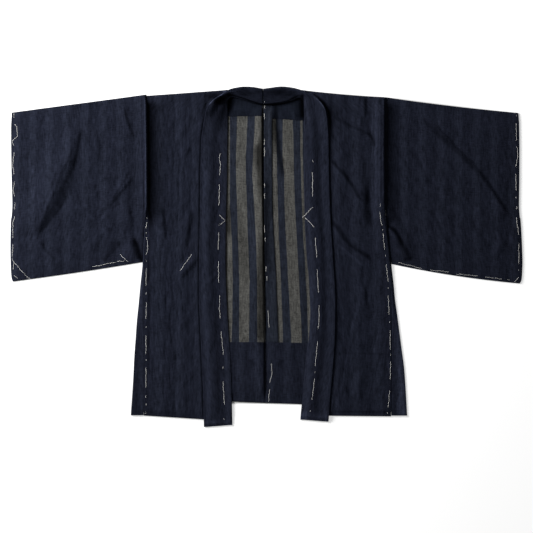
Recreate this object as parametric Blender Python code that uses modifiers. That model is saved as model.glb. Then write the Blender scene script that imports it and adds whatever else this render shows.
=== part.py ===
"""Haori jacket laid flat with its front side up, each cut piece a thin closed wall of cloth.

Metres, +Z up, collar towards +Y.  Left and right are the wearer's, so the wearer's right half lies
at -X.  Every drafting line below is a short table, and the walls are lofted between those lines.
The cloth is one rigid body: back panels on the ground, turned-up hems and yoke on them, the fronts
above, and the doubled collar on the fronts.
"""

import math
from typing import NamedTuple

import bmesh
import bpy

# ---------------------------------------------------------------- driving dimensions
CLOTH = 0.0010          # wall of one layer
COLLAR_WALL = 0.0024    # collar strip, cloth doubled over its seam allowances
SEAM_GAP = 0.0003       # clearance between two pieces that are sewn together
LAYER_GAP = 0.0004      # clearance between two layers that lie on each other

BACK_LEVEL = CLOTH / 2                                  # middle of the back layer's wall
LINING_LEVEL = BACK_LEVEL + CLOTH + LAYER_GAP           # hem turn-up, yoke, seam binding
FRONT_FACING_LEVEL = LINING_LEVEL + CLOTH + LAYER_GAP   # turned-up hem inside the fronts
FRONT_LEVEL = 0.0048                                    # front panels
FRONT_HEM_LEVEL = 0.0024                                # fronts where their hem reaches the ground
FACING_HEM_LEVEL = 0.0009
SLEEVE_EDGE_LEVEL = 0.0022                              # upper sleeve layer along its closed edges
SLEEVE_PUFF = 0.0036                                    # how far it stands above that inside

ARMHOLE_END = 0.108     # y where the sleeve's seam to the body ends
CUFF_END = 0.104        # y where the open cuff ends and the sewn edge begins
DROOP_START = -0.397    # y past which the fronts sink from the back's hem to the ground
COLLAR_LIES_FROM = 0.3755     # y below which the collar lies its full width on the front
FRONT_UNDER_COLLAR = 0.0080   # front panel's edge, out from the collar's inner line
PUFF_LENGTH = 0.030     # how fast a flattened tube opens away from a closed edge

PANEL_COLUMNS = 10
SLEEVE_COLUMNS = 14
SLEEVE_ROWS = 16


class Crease(NamedTuple):
    """A soft ridge, or a trough when its height is negative, seen from above."""

    path: tuple     # points x, y along its crest
    height: float
    left: float     # width of its slope to the left of the path
    right: float    # width of its slope to the right


class Fold(NamedTuple):
    """One section of the collar strip: sewn edge, upper bend, lower bend and free edge."""

    seam: tuple
    crest: tuple
    turn: tuple
    edge: tuple


class Side(NamedTuple):
    """The lines of one half.  Distances are measured out from x = 0, towards that side."""

    name: str
    sign: int
    collar_inner: tuple     # y, distance
    collar_outer: tuple     # y, distance
    collar_end: tuple       # y at the inner line, y at the outer line
    collar_lift: tuple      # y, height of the free edge above the lying collar
    collar_neck: tuple      # sections round the neck
    neck: tuple             # distance, y of the neck seam on the back panel
    side_seam: tuple        # y, distance
    shoulder: tuple         # y of the fold at the neck, at the sleeve, and its sag halfway
    front_hem: tuple        # y at the collar, y at the side seam
    front_facing: tuple     # y of the turn-up's edge at the collar, at the side seam
    back_hem: tuple         # y at the centre, y at the side seam
    back_facing: tuple      # y of the turn-up's edge at the centre, at the side seam
    gusset_fold: tuple      # y, distance
    gusset_hem: float       # y of the folded gusset's hem
    armhole: tuple          # y, distance
    cuff: tuple             # y, distance
    sleeve_top: tuple       # y at the body, y at the cuff, bow halfway
    sleeve_bottom: tuple    # y at the body, y at the cuff, bow halfway
    yoke_edge: tuple        # y of the yoke's lower edge at the centre and at its end
    front_creases: tuple
    sleeve_creases: tuple


RIGHT = Side(
    name="right",
    sign=-1,
    collar_inner=((0.405, 0.1008), (0.355, 0.1009), (0.277, 0.1018), (0.199, 0.1027), (0.095, 0.1053),
                  (-0.009, 0.1063), (-0.113, 0.1032), (-0.191, 0.0988), (-0.269, 0.0941),
                  (-0.373, 0.0910), (-0.442, 0.0897)),
    collar_outer=((0.376, 0.1575), (0.355, 0.1618), (0.303, 0.1688), (0.251, 0.1705), (0.199, 0.1716),
                  (0.095, 0.1729), (-0.009, 0.1747), (-0.113, 0.1745), (-0.191, 0.1713),
                  (-0.269, 0.1677), (-0.373, 0.1638), (-0.442, 0.1628)),
    collar_end=(-0.4378, -0.4425),
    collar_lift=((0.376, 0.0045), (0.300, 0.0015), (0.200, 0.0005), (-0.200, 0.0004), (-0.442, 0.0002)),
    collar_neck=(
        Fold((0.0086, 0.3968, 0.0016), (0.0086, 0.4338, 0.0070), (0.0086, 0.4348, 0.0024),
             (0.0086, 0.4085, 0.0013)),
        Fold((0.0300, 0.4008, 0.0016), (0.0300, 0.4382, 0.0082), (0.0310, 0.4390, 0.0026),
             (0.0310, 0.4125, 0.0013)),
        Fold((0.0500, 0.4072, 0.0018), (0.0520, 0.4398, 0.0095), (0.0530, 0.4405, 0.0030),
             (0.0560, 0.4150, 0.0013)),
        Fold((0.0700, 0.4132, 0.0024), (0.0690, 0.4378, 0.0112), (0.0720, 0.4392, 0.0072),
             (0.0740, 0.4310, 0.0044)),
        Fold((0.0830, 0.4165, 0.0034), (0.0840, 0.4330, 0.0125), (0.0870, 0.4352, 0.0115),
             (0.0920, 0.4335, 0.0090)),
        Fold((0.0925, 0.4160, 0.0042), (0.0980, 0.4235, 0.0125), (0.1060, 0.4245, 0.0128),
             (0.1120, 0.4215, 0.0112)),
        Fold((0.0980, 0.4090, 0.0050), (0.1050, 0.4110, 0.0112), (0.1270, 0.4135, 0.0130),
             (0.1340, 0.4095, 0.0125)),
        Fold((0.1003, 0.3960, 0.0050), (0.1080, 0.3960, 0.0092), (0.1400, 0.3985, 0.0128),
             (0.1490, 0.3945, 0.0128)),
    ),
    neck=((0.0083, 0.3960), (0.0273, 0.3992), (0.0429, 0.4040), (0.0600, 0.4090), (0.0740, 0.4130),
          (0.0830, 0.4180), (0.0872, 0.4260)),
    side_seam=((0.417, 0.3180), (0.277, 0.3151), (0.147, 0.3141), (0.108, 0.3148), (0.069, 0.3152),
               (-0.022, 0.3184), (-0.113, 0.3190), (-0.415, 0.3190)),
    shoulder=(0.4340, 0.4170, -0.0010),
    front_hem=(-0.4245, -0.4142),
    front_facing=(-0.2675, -0.2675),
    back_hem=(-0.3803, -0.3660),
    back_facing=(-0.2222, -0.2215),
    gusset_fold=((0.040, 0.3198), (-0.017, 0.3215), (-0.076, 0.3271), (-0.123, 0.3315), (-0.170, 0.3362),
                 (-0.217, 0.3393), (-0.264, 0.3427), (-0.310, 0.3448), (-0.373, 0.3492),
                 (-0.413, 0.3526)),
    gusset_hem=-0.4124,
    armhole=((0.417, 0.3183), (0.277, 0.3154), (0.147, 0.3144), (0.108, 0.3156), (0.065, 0.3184),
             (-0.014, 0.3229)),
    cuff=((0.374, 0.6615), (0.329, 0.6630), (0.225, 0.6617), (0.134, 0.6591), (0.080, 0.6638),
          (0.017, 0.6648), (-0.030, 0.6638), (-0.055, 0.6618), (-0.064, 0.6590)),
    sleeve_top=(0.4170, 0.3744, 0.0010),
    sleeve_bottom=(-0.0140, -0.0640, -0.0020),
    yoke_edge=(0.3656, 0.3650),
    front_creases=(
        Crease(((-0.199, 0.287), (-0.222, 0.206)), -0.0014, 0.012, 0.016),
        Crease(((-0.199, 0.120), (-0.212, 0.018)), -0.0016, 0.014, 0.018),
        Crease(((-0.183, 0.003), (-0.232, -0.052)), -0.0020, 0.012, 0.020),
    ),
    sleeve_creases=(
        Crease(((-0.482, 0.335), (-0.511, 0.251), (-0.547, 0.178), (-0.596, 0.050)), 0.0075, 0.032, 0.060),
        Crease(((-0.360, 0.206), (-0.416, 0.122)), -0.0022, 0.020, 0.020),
        Crease(((-0.520, 0.140), (-0.350, 0.050)), 0.0022, 0.030, 0.030),
        Crease(((-0.334, 0.062), (-0.330, -0.006)), -0.0012, 0.014, 0.020),
    ),
)

LEFT = Side(
    name="left",
    sign=1,
    collar_inner=((0.405, 0.0983), (0.355, 0.0980), (0.303, 0.0975), (0.199, 0.0975), (0.095, 0.0996),
                  (-0.009, 0.1053), (-0.060, 0.1105), (-0.113, 0.1142), (-0.191, 0.1118),
                  (-0.269, 0.1022), (-0.373, 0.0936), (-0.429, 0.0902)),
    collar_outer=((0.376, 0.1545), (0.355, 0.1586), (0.303, 0.1628), (0.199, 0.1651), (0.095, 0.1690),
                  (-0.009, 0.1755), (-0.060, 0.1790), (-0.113, 0.1806), (-0.191, 0.1790),
                  (-0.269, 0.1742), (-0.373, 0.1651), (-0.429, 0.1612)),
    collar_end=(-0.4238, -0.4287),
    collar_lift=((0.376, 0.0058), (0.320, 0.0060), (0.200, 0.0040), (0.000, 0.0030), (-0.200, 0.0026),
                 (-0.300, 0.0014), (-0.429, 0.0006)),
    collar_neck=(
        Fold((-0.0080, 0.3968, 0.0016), (-0.0080, 0.4338, 0.0070), (-0.0080, 0.4348, 0.0024),
             (-0.0080, 0.4085, 0.0013)),
        Fold((0.0150, 0.3976, 0.0016), (0.0150, 0.4375, 0.0082), (0.0150, 0.4385, 0.0026),
             (0.0150, 0.4110, 0.0013)),
        Fold((0.0400, 0.4008, 0.0018), (0.0380, 0.4400, 0.0095), (0.0385, 0.4408, 0.0030),
             (0.0420, 0.4145, 0.0013)),
        Fold((0.0610, 0.4065, 0.0024), (0.0590, 0.4375, 0.0112), (0.0620, 0.4388, 0.0072),
             (0.0650, 0.4305, 0.0044)),
        Fold((0.0750, 0.4125, 0.0034), (0.0760, 0.4330, 0.0125), (0.0790, 0.4348, 0.0115),
             (0.0840, 0.4328, 0.0090)),
        Fold((0.0860, 0.4145, 0.0042), (0.0905, 0.4240, 0.0125), (0.0990, 0.4260, 0.0128),
             (0.1055, 0.4235, 0.0112)),
        Fold((0.0935, 0.4080, 0.0050), (0.1000, 0.4110, 0.0112), (0.1230, 0.4150, 0.0135),
             (0.1305, 0.4085, 0.0135)),
        Fold((0.0973, 0.3960, 0.0050), (0.1050, 0.3960, 0.0092), (0.1370, 0.3990, 0.0138),
             (0.1455, 0.3940, 0.0138)),
    ),
    neck=((-0.0083, 0.3960), (0.0180, 0.3966), (0.0400, 0.3997), (0.0560, 0.4038), (0.0690, 0.4085),
          (0.0770, 0.4150), (0.0812, 0.4250)),
    side_seam=((0.414, 0.3055), (0.277, 0.3040), (0.147, 0.3059), (0.108, 0.3082), (0.082, 0.3096),
               (-0.022, 0.3198), (-0.113, 0.3237), (-0.269, 0.3245), (-0.416, 0.3237)),
    shoulder=(0.4336, 0.4133, -0.0042),
    front_hem=(-0.4146, -0.4154),
    front_facing=(-0.2530, -0.2535),
    back_hem=(-0.3803, -0.3930),
    back_facing=(-0.2222, -0.2290),
    gusset_fold=((0.040, 0.3175), (-0.024, 0.3244), (-0.076, 0.3310), (-0.108, 0.3338), (-0.139, 0.3380),
                 (-0.170, 0.3422), (-0.232, 0.3502), (-0.295, 0.3583), (-0.373, 0.3635),
                 (-0.413, 0.3656)),
    gusset_hem=-0.4132,
    armhole=((0.414, 0.3058), (0.277, 0.3043), (0.147, 0.3062), (0.108, 0.3105), (0.069, 0.3162),
             (-0.019, 0.3256)),
    cuff=((0.373, 0.6545), (0.345, 0.6570), (0.277, 0.6578), (0.199, 0.6575), (0.134, 0.6567),
          (0.080, 0.6607), (0.017, 0.6638), (-0.014, 0.6646), (-0.045, 0.6635), (-0.060, 0.6620),
          (-0.069, 0.6580)),
    sleeve_top=(0.4137, 0.3734, -0.0025),
    sleeve_bottom=(-0.0192, -0.0690, -0.0055),
    yoke_edge=(0.3590, 0.3500),
    front_creases=(
        Crease(((0.186, 0.368), (0.280, 0.282)), -0.0016, 0.014, 0.018),
        Crease(((0.178, 0.238), (0.264, 0.121)), -0.0018, 0.014, 0.020),
        Crease(((0.259, 0.180), (0.262, 0.066)), -0.0020, 0.010, 0.014),
        Crease(((0.176, 0.090), (0.274, -0.004)), -0.0020, 0.014, 0.020),
        Crease(((0.284, 0.395), (0.286, 0.120)), 0.0026, 0.018, 0.016),
    ),
    sleeve_creases=(
        Crease(((0.410, 0.360), (0.524, 0.251), (0.628, 0.111)), 0.0030, 0.030, 0.022),
        Crease(((0.446, 0.173), (0.482, 0.152)), 0.0014, 0.014, 0.014),
        Crease(((0.345, 0.075), (0.376, -0.010)), 0.0030, 0.028, 0.020),
    ),
)

CENTRE_SEAM = ((0.400, -0.0083), (-0.385, -0.0013))                        # y, x
BINDING_LEFT = ((0.395, -0.0065), (0.147, -0.0062), (-0.060, -0.0035), (-0.222, 0.0010))
BINDING_RIGHT = ((0.395, 0.0140), (0.147, 0.0150), (-0.030, 0.0235), (-0.222, 0.0310))
YOKE_END = 0.165        # how far the yoke reaches out under the fronts

COLOURS = {             # linear base colour, roughness
    "cloth": ((0.0120, 0.0140, 0.0230), 0.92),
    "collar": ((0.0125, 0.0145, 0.0235), 0.90),
    "sleeve": ((0.0125, 0.0150, 0.0240), 0.92),
    "gusset": ((0.0115, 0.0135, 0.0225), 0.92),
    "lining": ((0.0105, 0.0120, 0.0200), 0.90),
}


# ---------------------------------------------------------------- drafting helpers
def track(table, station):
    """Value of a two-column table at a station, by cubic interpolation with limited slopes."""
    rows = sorted(table)
    if station <= rows[0][0]:
        return rows[0][1]
    if station >= rows[-1][0]:
        return rows[-1][1]
    slopes = [(b[1] - a[1]) / (b[0] - a[0]) for a, b in zip(rows, rows[1:])]

    def tangent(i):
        if i == 0 or i == len(rows) - 1:
            return slopes[min(i, len(slopes) - 1)]
        before, after = slopes[i - 1], slopes[i]
        return 0.0 if before * after <= 0 else 2 * before * after / (before + after)

    i = max(k for k in range(len(rows) - 1) if rows[k][0] <= station)
    span = rows[i + 1][0] - rows[i][0]
    t = (station - rows[i][0]) / span
    return ((1 + 2 * t) * (1 - t) ** 2 * rows[i][1] + t * (1 - t) ** 2 * span * tangent(i)
            + t * t * (3 - 2 * t) * rows[i + 1][1] + t * t * (t - 1) * span * tangent(i + 1))


def lerp(a, b, t):
    """Number, or tuple of numbers, a share t of the way from a to b."""
    if isinstance(a, tuple):
        return tuple(p + (q - p) * t for p, q in zip(a, b))
    return a + (b - a) * t


def steps(start, end, count):
    """count + 1 evenly spaced numbers from start to end."""
    return [lerp(start, end, k / count) for k in range(count + 1)]


def smooth_step(low, high, value):
    """0 below low, 1 above high, smooth between them."""
    t = min(1.0, max(0.0, (value - low) / (high - low)))
    return t * t * (3 - 2 * t)


def opened(distance, length=PUFF_LENGTH):
    """How far a flattened tube has opened at a distance from its closed edge, 0 to 1."""
    return 1 - math.exp(-max(distance, 0.0) / length)


def beside(path, x, y):
    """Distance to the left of a path, and the share of the path's length passed there."""
    lengths = [math.dist(a, b) for a, b in zip(path, path[1:])]
    best = None
    passed = 0.0
    for (x0, y0), (x1, y1), length in zip(path, path[1:], lengths):
        t = ((x - x0) * (x1 - x0) + (y - y0) * (y1 - y0)) / length ** 2
        held = min(1.0, max(0.0, t))
        away = math.hypot(x - lerp(x0, x1, held), y - lerp(y0, y1, held))
        if best is None or away < best[0]:
            left = (y - y0) * (x1 - x0) - (x - x0) * (y1 - y0) > 0
            best = (away, left, (passed + held * length) / sum(lengths))
        passed += length
    away, left, share = best
    return (away if left else -away), share


def relief(creases, x, y):
    """Height that a table of creases adds at a point; each one dies away at its ends."""
    total = 0.0
    for crease in creases:
        across, share = beside(crease.path, x, y)
        width = crease.left if across > 0 else crease.right
        if abs(across) < width:
            ends = smooth_step(0.0, 0.30, share) * smooth_step(0.0, 0.30, 1 - share)
            total += crease.height * ends * (0.5 + 0.5 * math.cos(math.pi * across / width))
    return total


# ---------------------------------------------------------------- heights of the upper layers
def front_height(side, out, y):
    """Middle of a front panel's wall at a distance out from x = 0."""
    seam = track(side.side_seam, y)
    collar = track(side.collar_outer, y)
    fade = smooth_step(0.004, 0.020, out - collar) * smooth_step(0.0, 0.012, seam - out)
    level = FRONT_LEVEL + fade * (0.0006 + relief(side.front_creases, side.sign * out, y))
    hem = lerp(*side.front_hem, smooth_step(collar, seam, out))
    return lerp(FRONT_HEM_LEVEL, level, smooth_step(hem, DROOP_START, y))


def sleeve_height(side, out, y, top, bottom):
    """Middle of the sleeve's upper layer, given the y of its top fold and bottom seam there."""
    inner = out - track(side.armhole, y)
    outer = track(side.cuff, y) - out
    puff = opened(outer) * opened(y - bottom) * opened(top - y + 0.004)
    armhole = smooth_step(ARMHOLE_END - 0.030, ARMHOLE_END + 0.010, y)
    seam_rise = armhole * (FRONT_LEVEL - SLEEVE_EDGE_LEVEL) * math.exp(-inner / 0.020)
    body = puff * opened(inner) * (SLEEVE_PUFF + relief(side.sleeve_creases, side.sign * out, y))
    return SLEEVE_EDGE_LEVEL + seam_rise + body


# ---------------------------------------------------------------- mesh helpers
def new_material(name, kind):
    colour, roughness = COLOURS[kind]
    material = bpy.data.materials.new(name)
    material.use_nodes = True
    shader = material.node_tree.nodes["Principled BSDF"]
    shader.inputs["Base Color"].default_value = (*colour, 1.0)
    shader.inputs["Roughness"].default_value = roughness
    shader.inputs["Metallic"].default_value = 0.0
    material.diffuse_color = (*colour, 1.0)
    return material


def grid_mesh(rows):
    """A bmesh grid whose vertices are moved to the given rows of points."""
    mesh = bmesh.new()
    across, along = len(rows[0]) - 1, len(rows) - 1
    bmesh.ops.create_grid(mesh, x_segments=across, y_segments=along, size=1.0)
    mesh.verts.ensure_lookup_table()
    for index, vertex in enumerate(mesh.verts):
        row, column = divmod(index, across + 1)
        vertex.co = rows[row][column]
    return mesh


def add_cloth(name, mesh, wall, kind, collection, even=True):
    """Link the surface as an object and give it its wall with Solidify."""
    bmesh.ops.recalc_face_normals(mesh, faces=mesh.faces)
    data = bpy.data.meshes.new(name)
    mesh.to_mesh(data)
    mesh.free()
    data.shade_smooth()
    cloth = bpy.data.objects.new(name, data)
    cloth.data.materials.append(new_material(name + "_material", kind))
    solidify = cloth.modifiers.new("wall", "SOLIDIFY")
    solidify.thickness = wall
    solidify.offset = 0.0
    solidify.use_even_offset = even
    solidify.use_quality_normals = True
    collection.objects.link(cloth)
    return cloth


def half_turn(low, high, segments):
    """Offsets (outward, upward) of a bend from the lower level to the upper one."""
    radius = (high - low) / 2
    angles = steps(-math.pi / 2, math.pi / 2, segments)
    return [(radius * math.cos(a), low + radius + radius * math.sin(a)) for a in angles]


# ---------------------------------------------------------------- body panels
def body_rows(side):
    """Rows of one half's single length: turned-up back hem, back, shoulder, front, turned-up hem."""
    half = SEAM_GAP / 2

    def centre(y):
        return side.sign * track(CENTRE_SEAM, y) + half

    def seam(y):
        return track(side.side_seam, y) - half

    def front_edge(y):
        return track(side.collar_inner, y) + FRONT_UNDER_COLLAR

    def across(inner, outer, height, sag=0.0):
        row = []
        for t in steps(0.0, 1.0, PANEL_COLUMNS):
            out, y = lerp(inner, outer, t)
            y += sag * 4 * t * (1 - t)
            row.append((side.sign * out, y, height(out, y, t)))
        return row

    def flat_row(y_in, y_out, level, inset=0.0):
        inner, outer = (centre(y_in), y_in), (seam(y_out) - inset, y_out)
        return across(inner, outer, lambda out, y, t: level)

    rows = []
    # back hem: the turn-up's free edge down to the bend, then round it
    bend = half_turn(BACK_LEVEL, LINING_LEVEL, 3)
    reach = bend[1][0] + CLOTH
    for t in steps(0.0, 1.0, 3):
        y_in = lerp(side.back_facing[0], side.back_hem[0] + reach, t)
        y_out = lerp(side.back_facing[1], side.back_hem[1] + reach, t)
        rows.append(flat_row(y_in, y_out, LINING_LEVEL, 0.0006))
    for outward, level in reversed(bend[1:-1]):
        rows.append(flat_row(side.back_hem[0] + reach - outward, side.back_hem[1] + reach - outward, level))
    # back panel up to the yoke's height
    neck_side_y = side.shoulder[1] - 0.075
    for t in steps(0.0, 1.0, 11):
        y_in = lerp(side.back_hem[0] + reach, side.neck[0][1] - SEAM_GAP, t)
        y_out = lerp(side.back_hem[1] + reach, neck_side_y, t)
        rows.append(flat_row(y_in, y_out, BACK_LEVEL))
    # round the neck: the inner end runs along the neck seam to the shoulder fold
    for k, (out, y) in enumerate(side.neck[1:], start=1):
        y_out = lerp(neck_side_y, side.shoulder[1] - 0.010, k / (len(side.neck) - 1))
        inner, outer = (out, y - SEAM_GAP), (seam(y_out), y_out)
        rows.append(across(inner, outer, lambda out, y, t: BACK_LEVEL))
    # shoulder fold
    fold_in, fold_out, sag = side.shoulder
    for angle in steps(-math.pi / 2, math.pi / 2, 4):
        row = []
        for t in steps(0.0, 1.0, PANEL_COLUMNS):
            out = lerp(side.neck[-1][0] + 0.0005, seam(fold_out), t)
            y_fold = lerp(fold_in, fold_out, t) + sag * 4 * t * (1 - t)
            radius = (front_height(side, out, y_fold) - BACK_LEVEL) / 2
            y = y_fold - CLOTH / 2 - radius + radius * math.cos(angle)
            row.append((side.sign * out, y, BACK_LEVEL + radius * (1 + math.sin(angle))))
        rows.append(row)
    # front panel down to its hem
    hem_bend = half_turn(FACING_HEM_LEVEL, FRONT_HEM_LEVEL, 3)
    hem_reach = hem_bend[1][0] + CLOTH / 2
    stations = steps(0.03, 0.92, 14) + steps(0.94, 1.0, 3)
    for t in stations:
        y_in = lerp(fold_in - 0.006, side.front_hem[0] + hem_reach, t)
        y_out = lerp(fold_out - 0.006, side.front_hem[1] + hem_reach, t)
        inner, outer = (front_edge(y_in), y_in), (seam(y_out), y_out)
        rows.append(across(inner, outer, lambda out, y, s: front_height(side, out, y), sag * (1 - t) ** 8))
    # front hem: round the bend and up inside
    for outward, level in reversed(hem_bend[1:-1]):
        y_in, y_out = (hem + hem_reach - outward for hem in side.front_hem)
        inner, outer = (front_edge(y_in), y_in), (seam(y_out), y_out)
        rows.append(across(inner, outer, lambda out, y, t, level=level: level))

    def facing_height(out, y, t):
        hem = lerp(*side.front_hem, t)
        return lerp(FACING_HEM_LEVEL, FRONT_FACING_LEVEL, smooth_step(hem, DROOP_START, y))

    for t in (0.0, 0.05, 0.10, 0.16, 0.58, 1.0):
        y_in = lerp(side.front_hem[0] + hem_reach, side.front_facing[0], t)
        y_out = lerp(side.front_hem[1] + hem_reach, side.front_facing[1], t)
        inner, outer = (front_edge(y_in), y_in), (seam(y_out) - 0.0003, y_out)
        rows.append(across(inner, outer, facing_height))
    return rows


def build_body(side, collection):
    return add_cloth("body_" + side.name, grid_mesh(body_rows(side)), CLOTH, "cloth", collection)


# ---------------------------------------------------------------- sleeves
def sleeve_rows(side):
    """Rows of a sleeve's length: lower layer upwards, round the top fold, upper layer downwards."""
    shares = [0.5 - 0.5 * math.cos(math.pi * (0.06 + 0.94 * k / SLEEVE_ROWS)) for k in range(SLEEVE_ROWS + 1)]
    shares = [(s - shares[0]) / (1 - shares[0]) for s in shares]

    def corner_lines(u):
        bow = 4 * u * (1 - u)
        top = lerp(side.sleeve_top[0], side.sleeve_top[1], u) + side.sleeve_top[2] * bow
        bottom = lerp(side.sleeve_bottom[0], side.sleeve_bottom[1], u) + side.sleeve_bottom[2] * bow
        return top, bottom

    def place(u, v, level=None):
        top, bottom = corner_lines(u)
        low, high = bottom + CLOTH / 2, top - CLOTH / 2 - 0.0009
        y = lerp(high, low, v)
        closed_inner = CLOTH / 2 * (1 - smooth_step(ARMHOLE_END - 0.012, ARMHOLE_END, y))
        inner = track(side.armhole, y) + SEAM_GAP / 2 + closed_inner
        outer = track(side.cuff, y) - CLOTH / 2
        out = lerp(inner, outer, u)
        height = sleeve_height(side, out, y, top, bottom) if level is None else level
        return [side.sign * out, y, height]

    columns = [0.0, 0.02] + steps(0.07, 0.94, SLEEVE_COLUMNS - 4) + [0.98, 1.0]
    rows = [[place(u, v, BACK_LEVEL) for u in columns] for v in reversed(shares)]
    for angle in steps(-math.pi / 2, math.pi / 2, 4)[1:-1]:
        row = []
        for u in columns:
            x, y, height = place(u, 0.0)
            radius = (height - BACK_LEVEL) / 2
            row.append((x, y + min(radius, 0.0013) * math.cos(angle), BACK_LEVEL + radius * (1 + math.sin(angle))))
        rows.append(row)
    rows += [[place(u, v) for u in columns] for v in shares]
    return rows


def build_sleeve(side, collection):
    """A flattened tube: folded at the top, sewn at the bottom, the low cuff and the low inner edge."""
    rows = sleeve_rows(side)
    mesh = grid_mesh(rows)
    last = len(rows[0]) - 1

    def sewn(edge):
        """True for the boundary edges that the seam closes."""
        if not edge.is_boundary:
            return False
        indices = [divmod(v.index, last + 1) for v in edge.verts]
        ends = all(r in (0, len(rows) - 1) for r, c in indices)
        inner = all(c == 0 for r, c in indices) and max(v.co.y for v in edge.verts) < ARMHOLE_END
        cuff = all(c == last for r, c in indices) and max(v.co.y for v in edge.verts) < CUFF_END
        return ends or inner or cuff

    mesh.verts.index_update()
    bmesh.ops.bridge_loops(mesh, edges=[e for e in mesh.edges if sewn(e)])
    return add_cloth("sleeve_" + side.name, mesh, CLOTH, "sleeve", collection)


# ---------------------------------------------------------------- gussets
def build_gusset(side, collection):
    """A long wedge folded lengthwise; its edges meet the front's and the back's side seams."""
    low, high = BACK_LEVEL, SLEEVE_EDGE_LEVEL
    bend = half_turn(low, high, 3)
    rows = []
    for y_upper in steps(0.030, side.gusset_hem, 12):
        row = []
        seam = track(side.side_seam, y_upper) + SEAM_GAP
        fold = track(side.gusset_fold, y_upper) - CLOTH / 2 - (high - low) / 2
        edge_level = front_height(side, track(side.side_seam, y_upper), y_upper)
        share = (0.030 - y_upper) / (0.030 - side.gusset_hem)
        y_lower = lerp(0.030, side.back_hem[1] + 0.0005, share)
        for t in steps(0.0, 1.0, 3):
            level = lerp(edge_level, high, t ** 1.5)
            row.append((side.sign * lerp(seam, fold, t), y_upper, level))
        for outward, level in reversed(bend[1:-1]):
            row.append((side.sign * (fold + outward), y_upper, level))
        for t in steps(1.0, 0.0, 3):
            row.append((side.sign * lerp(seam, fold, t), lerp(y_lower, y_upper, t), low))
        rows.append(row)
    return add_cloth("gusset_" + side.name, grid_mesh(rows), CLOTH, "gusset", collection)


# ---------------------------------------------------------------- collar
def collar_front_fold(side, y_in, y_out):
    """Section of the collar where it lies on the front panel."""
    inner = track(side.collar_inner, y_in)
    outer = track(side.collar_outer, y_out)
    lift = track(side.collar_lift, y_in)
    above = CLOTH / 2 + LAYER_GAP + COLLAR_WALL / 2
    past_hem = smooth_step(side.front_hem[0], side.collar_end[0], y_in)
    level = lerp(front_height(side, inner + 0.02, y_in) + above, COLLAR_WALL / 2 + 0.0002, past_hem)
    tucked = lerp(0.0040, COLLAR_WALL / 2 + 0.0002, smooth_step(DROOP_START, side.collar_end[0], y_in))
    return Fold(
        seam=(inner, y_in, min(tucked, level)),
        crest=(inner + 0.0060, y_in, level),
        turn=(outer - 0.0080, y_out, level + 0.75 * lift),
        edge=(outer, y_out, level + lift),
    )


def collar_section(side, fold):
    """Points across the strip, with an extra one to round each bend."""
    seam, crest, turn, edge = fold
    middle = lerp(crest, turn, 0.5)
    points = [
        seam, lerp(seam, crest, 0.5), lerp(seam, crest, 0.86), lerp(crest, middle, 0.14),
        middle, lerp(middle, turn, 0.86), lerp(turn, edge, 0.20), lerp(turn, edge, 0.6), edge,
    ]
    return [(side.sign * out, y, height) for out, y, height in points]


def build_collar(side, collection):
    """One half of the doubled strip: folded back at the neck, lying its full width on the front."""
    folds = []
    for before, after in zip(side.collar_neck, side.collar_neck[1:]):
        folds += [before, Fold(*(lerp(a, b, 0.5) for a, b in zip(before, after)))]
    folds.append(side.collar_neck[-1])
    for t in steps(0.0, 0.94, 17) + steps(0.953, 1.0, 4):
        y_in = lerp(COLLAR_LIES_FROM, side.collar_end[0], t)
        y_out = lerp(COLLAR_LIES_FROM, side.collar_end[1], t)
        folds.append(collar_front_fold(side, y_in, y_out))
    rows = [collar_section(side, fold) for fold in folds]
    return add_cloth("collar_" + side.name, grid_mesh(rows), COLLAR_WALL, "collar", collection, even=False)


# ---------------------------------------------------------------- what lies inside the back
def build_yoke(side, collection):
    """Half of the yoke lining, from its lower edge to the neck seam and the shoulder."""
    start = 0.0118 if side.sign < 0 else track(BINDING_RIGHT, 0.38) + SEAM_GAP
    neck = tuple((out, y) for out, y in side.neck)
    rows = []
    for v in steps(0.0, 1.0, 3):
        row = []
        for u in steps(0.0, 1.0, 8):
            out = lerp(start, YOKE_END, u)
            top = min(track(neck, out) - 2 * SEAM_GAP, 0.4150)
            row.append((side.sign * out, lerp(lerp(*side.yoke_edge, u), top, v), LINING_LEVEL))
        rows.append(row)
    return add_cloth("yoke_lining_" + side.name, grid_mesh(rows), CLOTH, "lining", collection)


def build_binding(collection):
    """The narrow strip that covers the centre back seam's allowances."""
    rows = []
    for y in steps(0.3950, -0.2222 + SEAM_GAP, 14):
        edges = (track(BINDING_LEFT, y), track(BINDING_RIGHT, y))
        rows.append([(lerp(*edges, u), y, LINING_LEVEL) for u in steps(0.0, 1.0, 2)])
    return add_cloth("centre_back_binding", grid_mesh(rows), CLOTH, "lining", collection)


def main():
    for leftover in list(bpy.data.objects):
        bpy.data.objects.remove(leftover, do_unlink=True)
    haori = bpy.data.collections.new("haori_jacket")
    bpy.context.scene.collection.children.link(haori)
    for side in (RIGHT, LEFT):
        build_body(side, haori)
        build_sleeve(side, haori)
        build_gusset(side, haori)
        build_collar(side, haori)
        build_yoke(side, haori)
    build_binding(haori)


main()
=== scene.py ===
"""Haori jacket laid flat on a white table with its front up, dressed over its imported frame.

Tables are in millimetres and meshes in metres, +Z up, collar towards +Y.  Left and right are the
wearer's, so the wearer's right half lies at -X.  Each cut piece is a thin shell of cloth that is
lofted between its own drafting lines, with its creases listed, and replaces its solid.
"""

import logging
import math
from collections.abc import Callable
from dataclasses import dataclass
from enum import Enum
from functools import lru_cache
from typing import ClassVar

import bpy
import numpy as np
from bpy.types import Material, Node, NodeSocket as Socket, NodeTree, Object
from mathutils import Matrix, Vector
from mathutils.bvhtree import BVHTree


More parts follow.
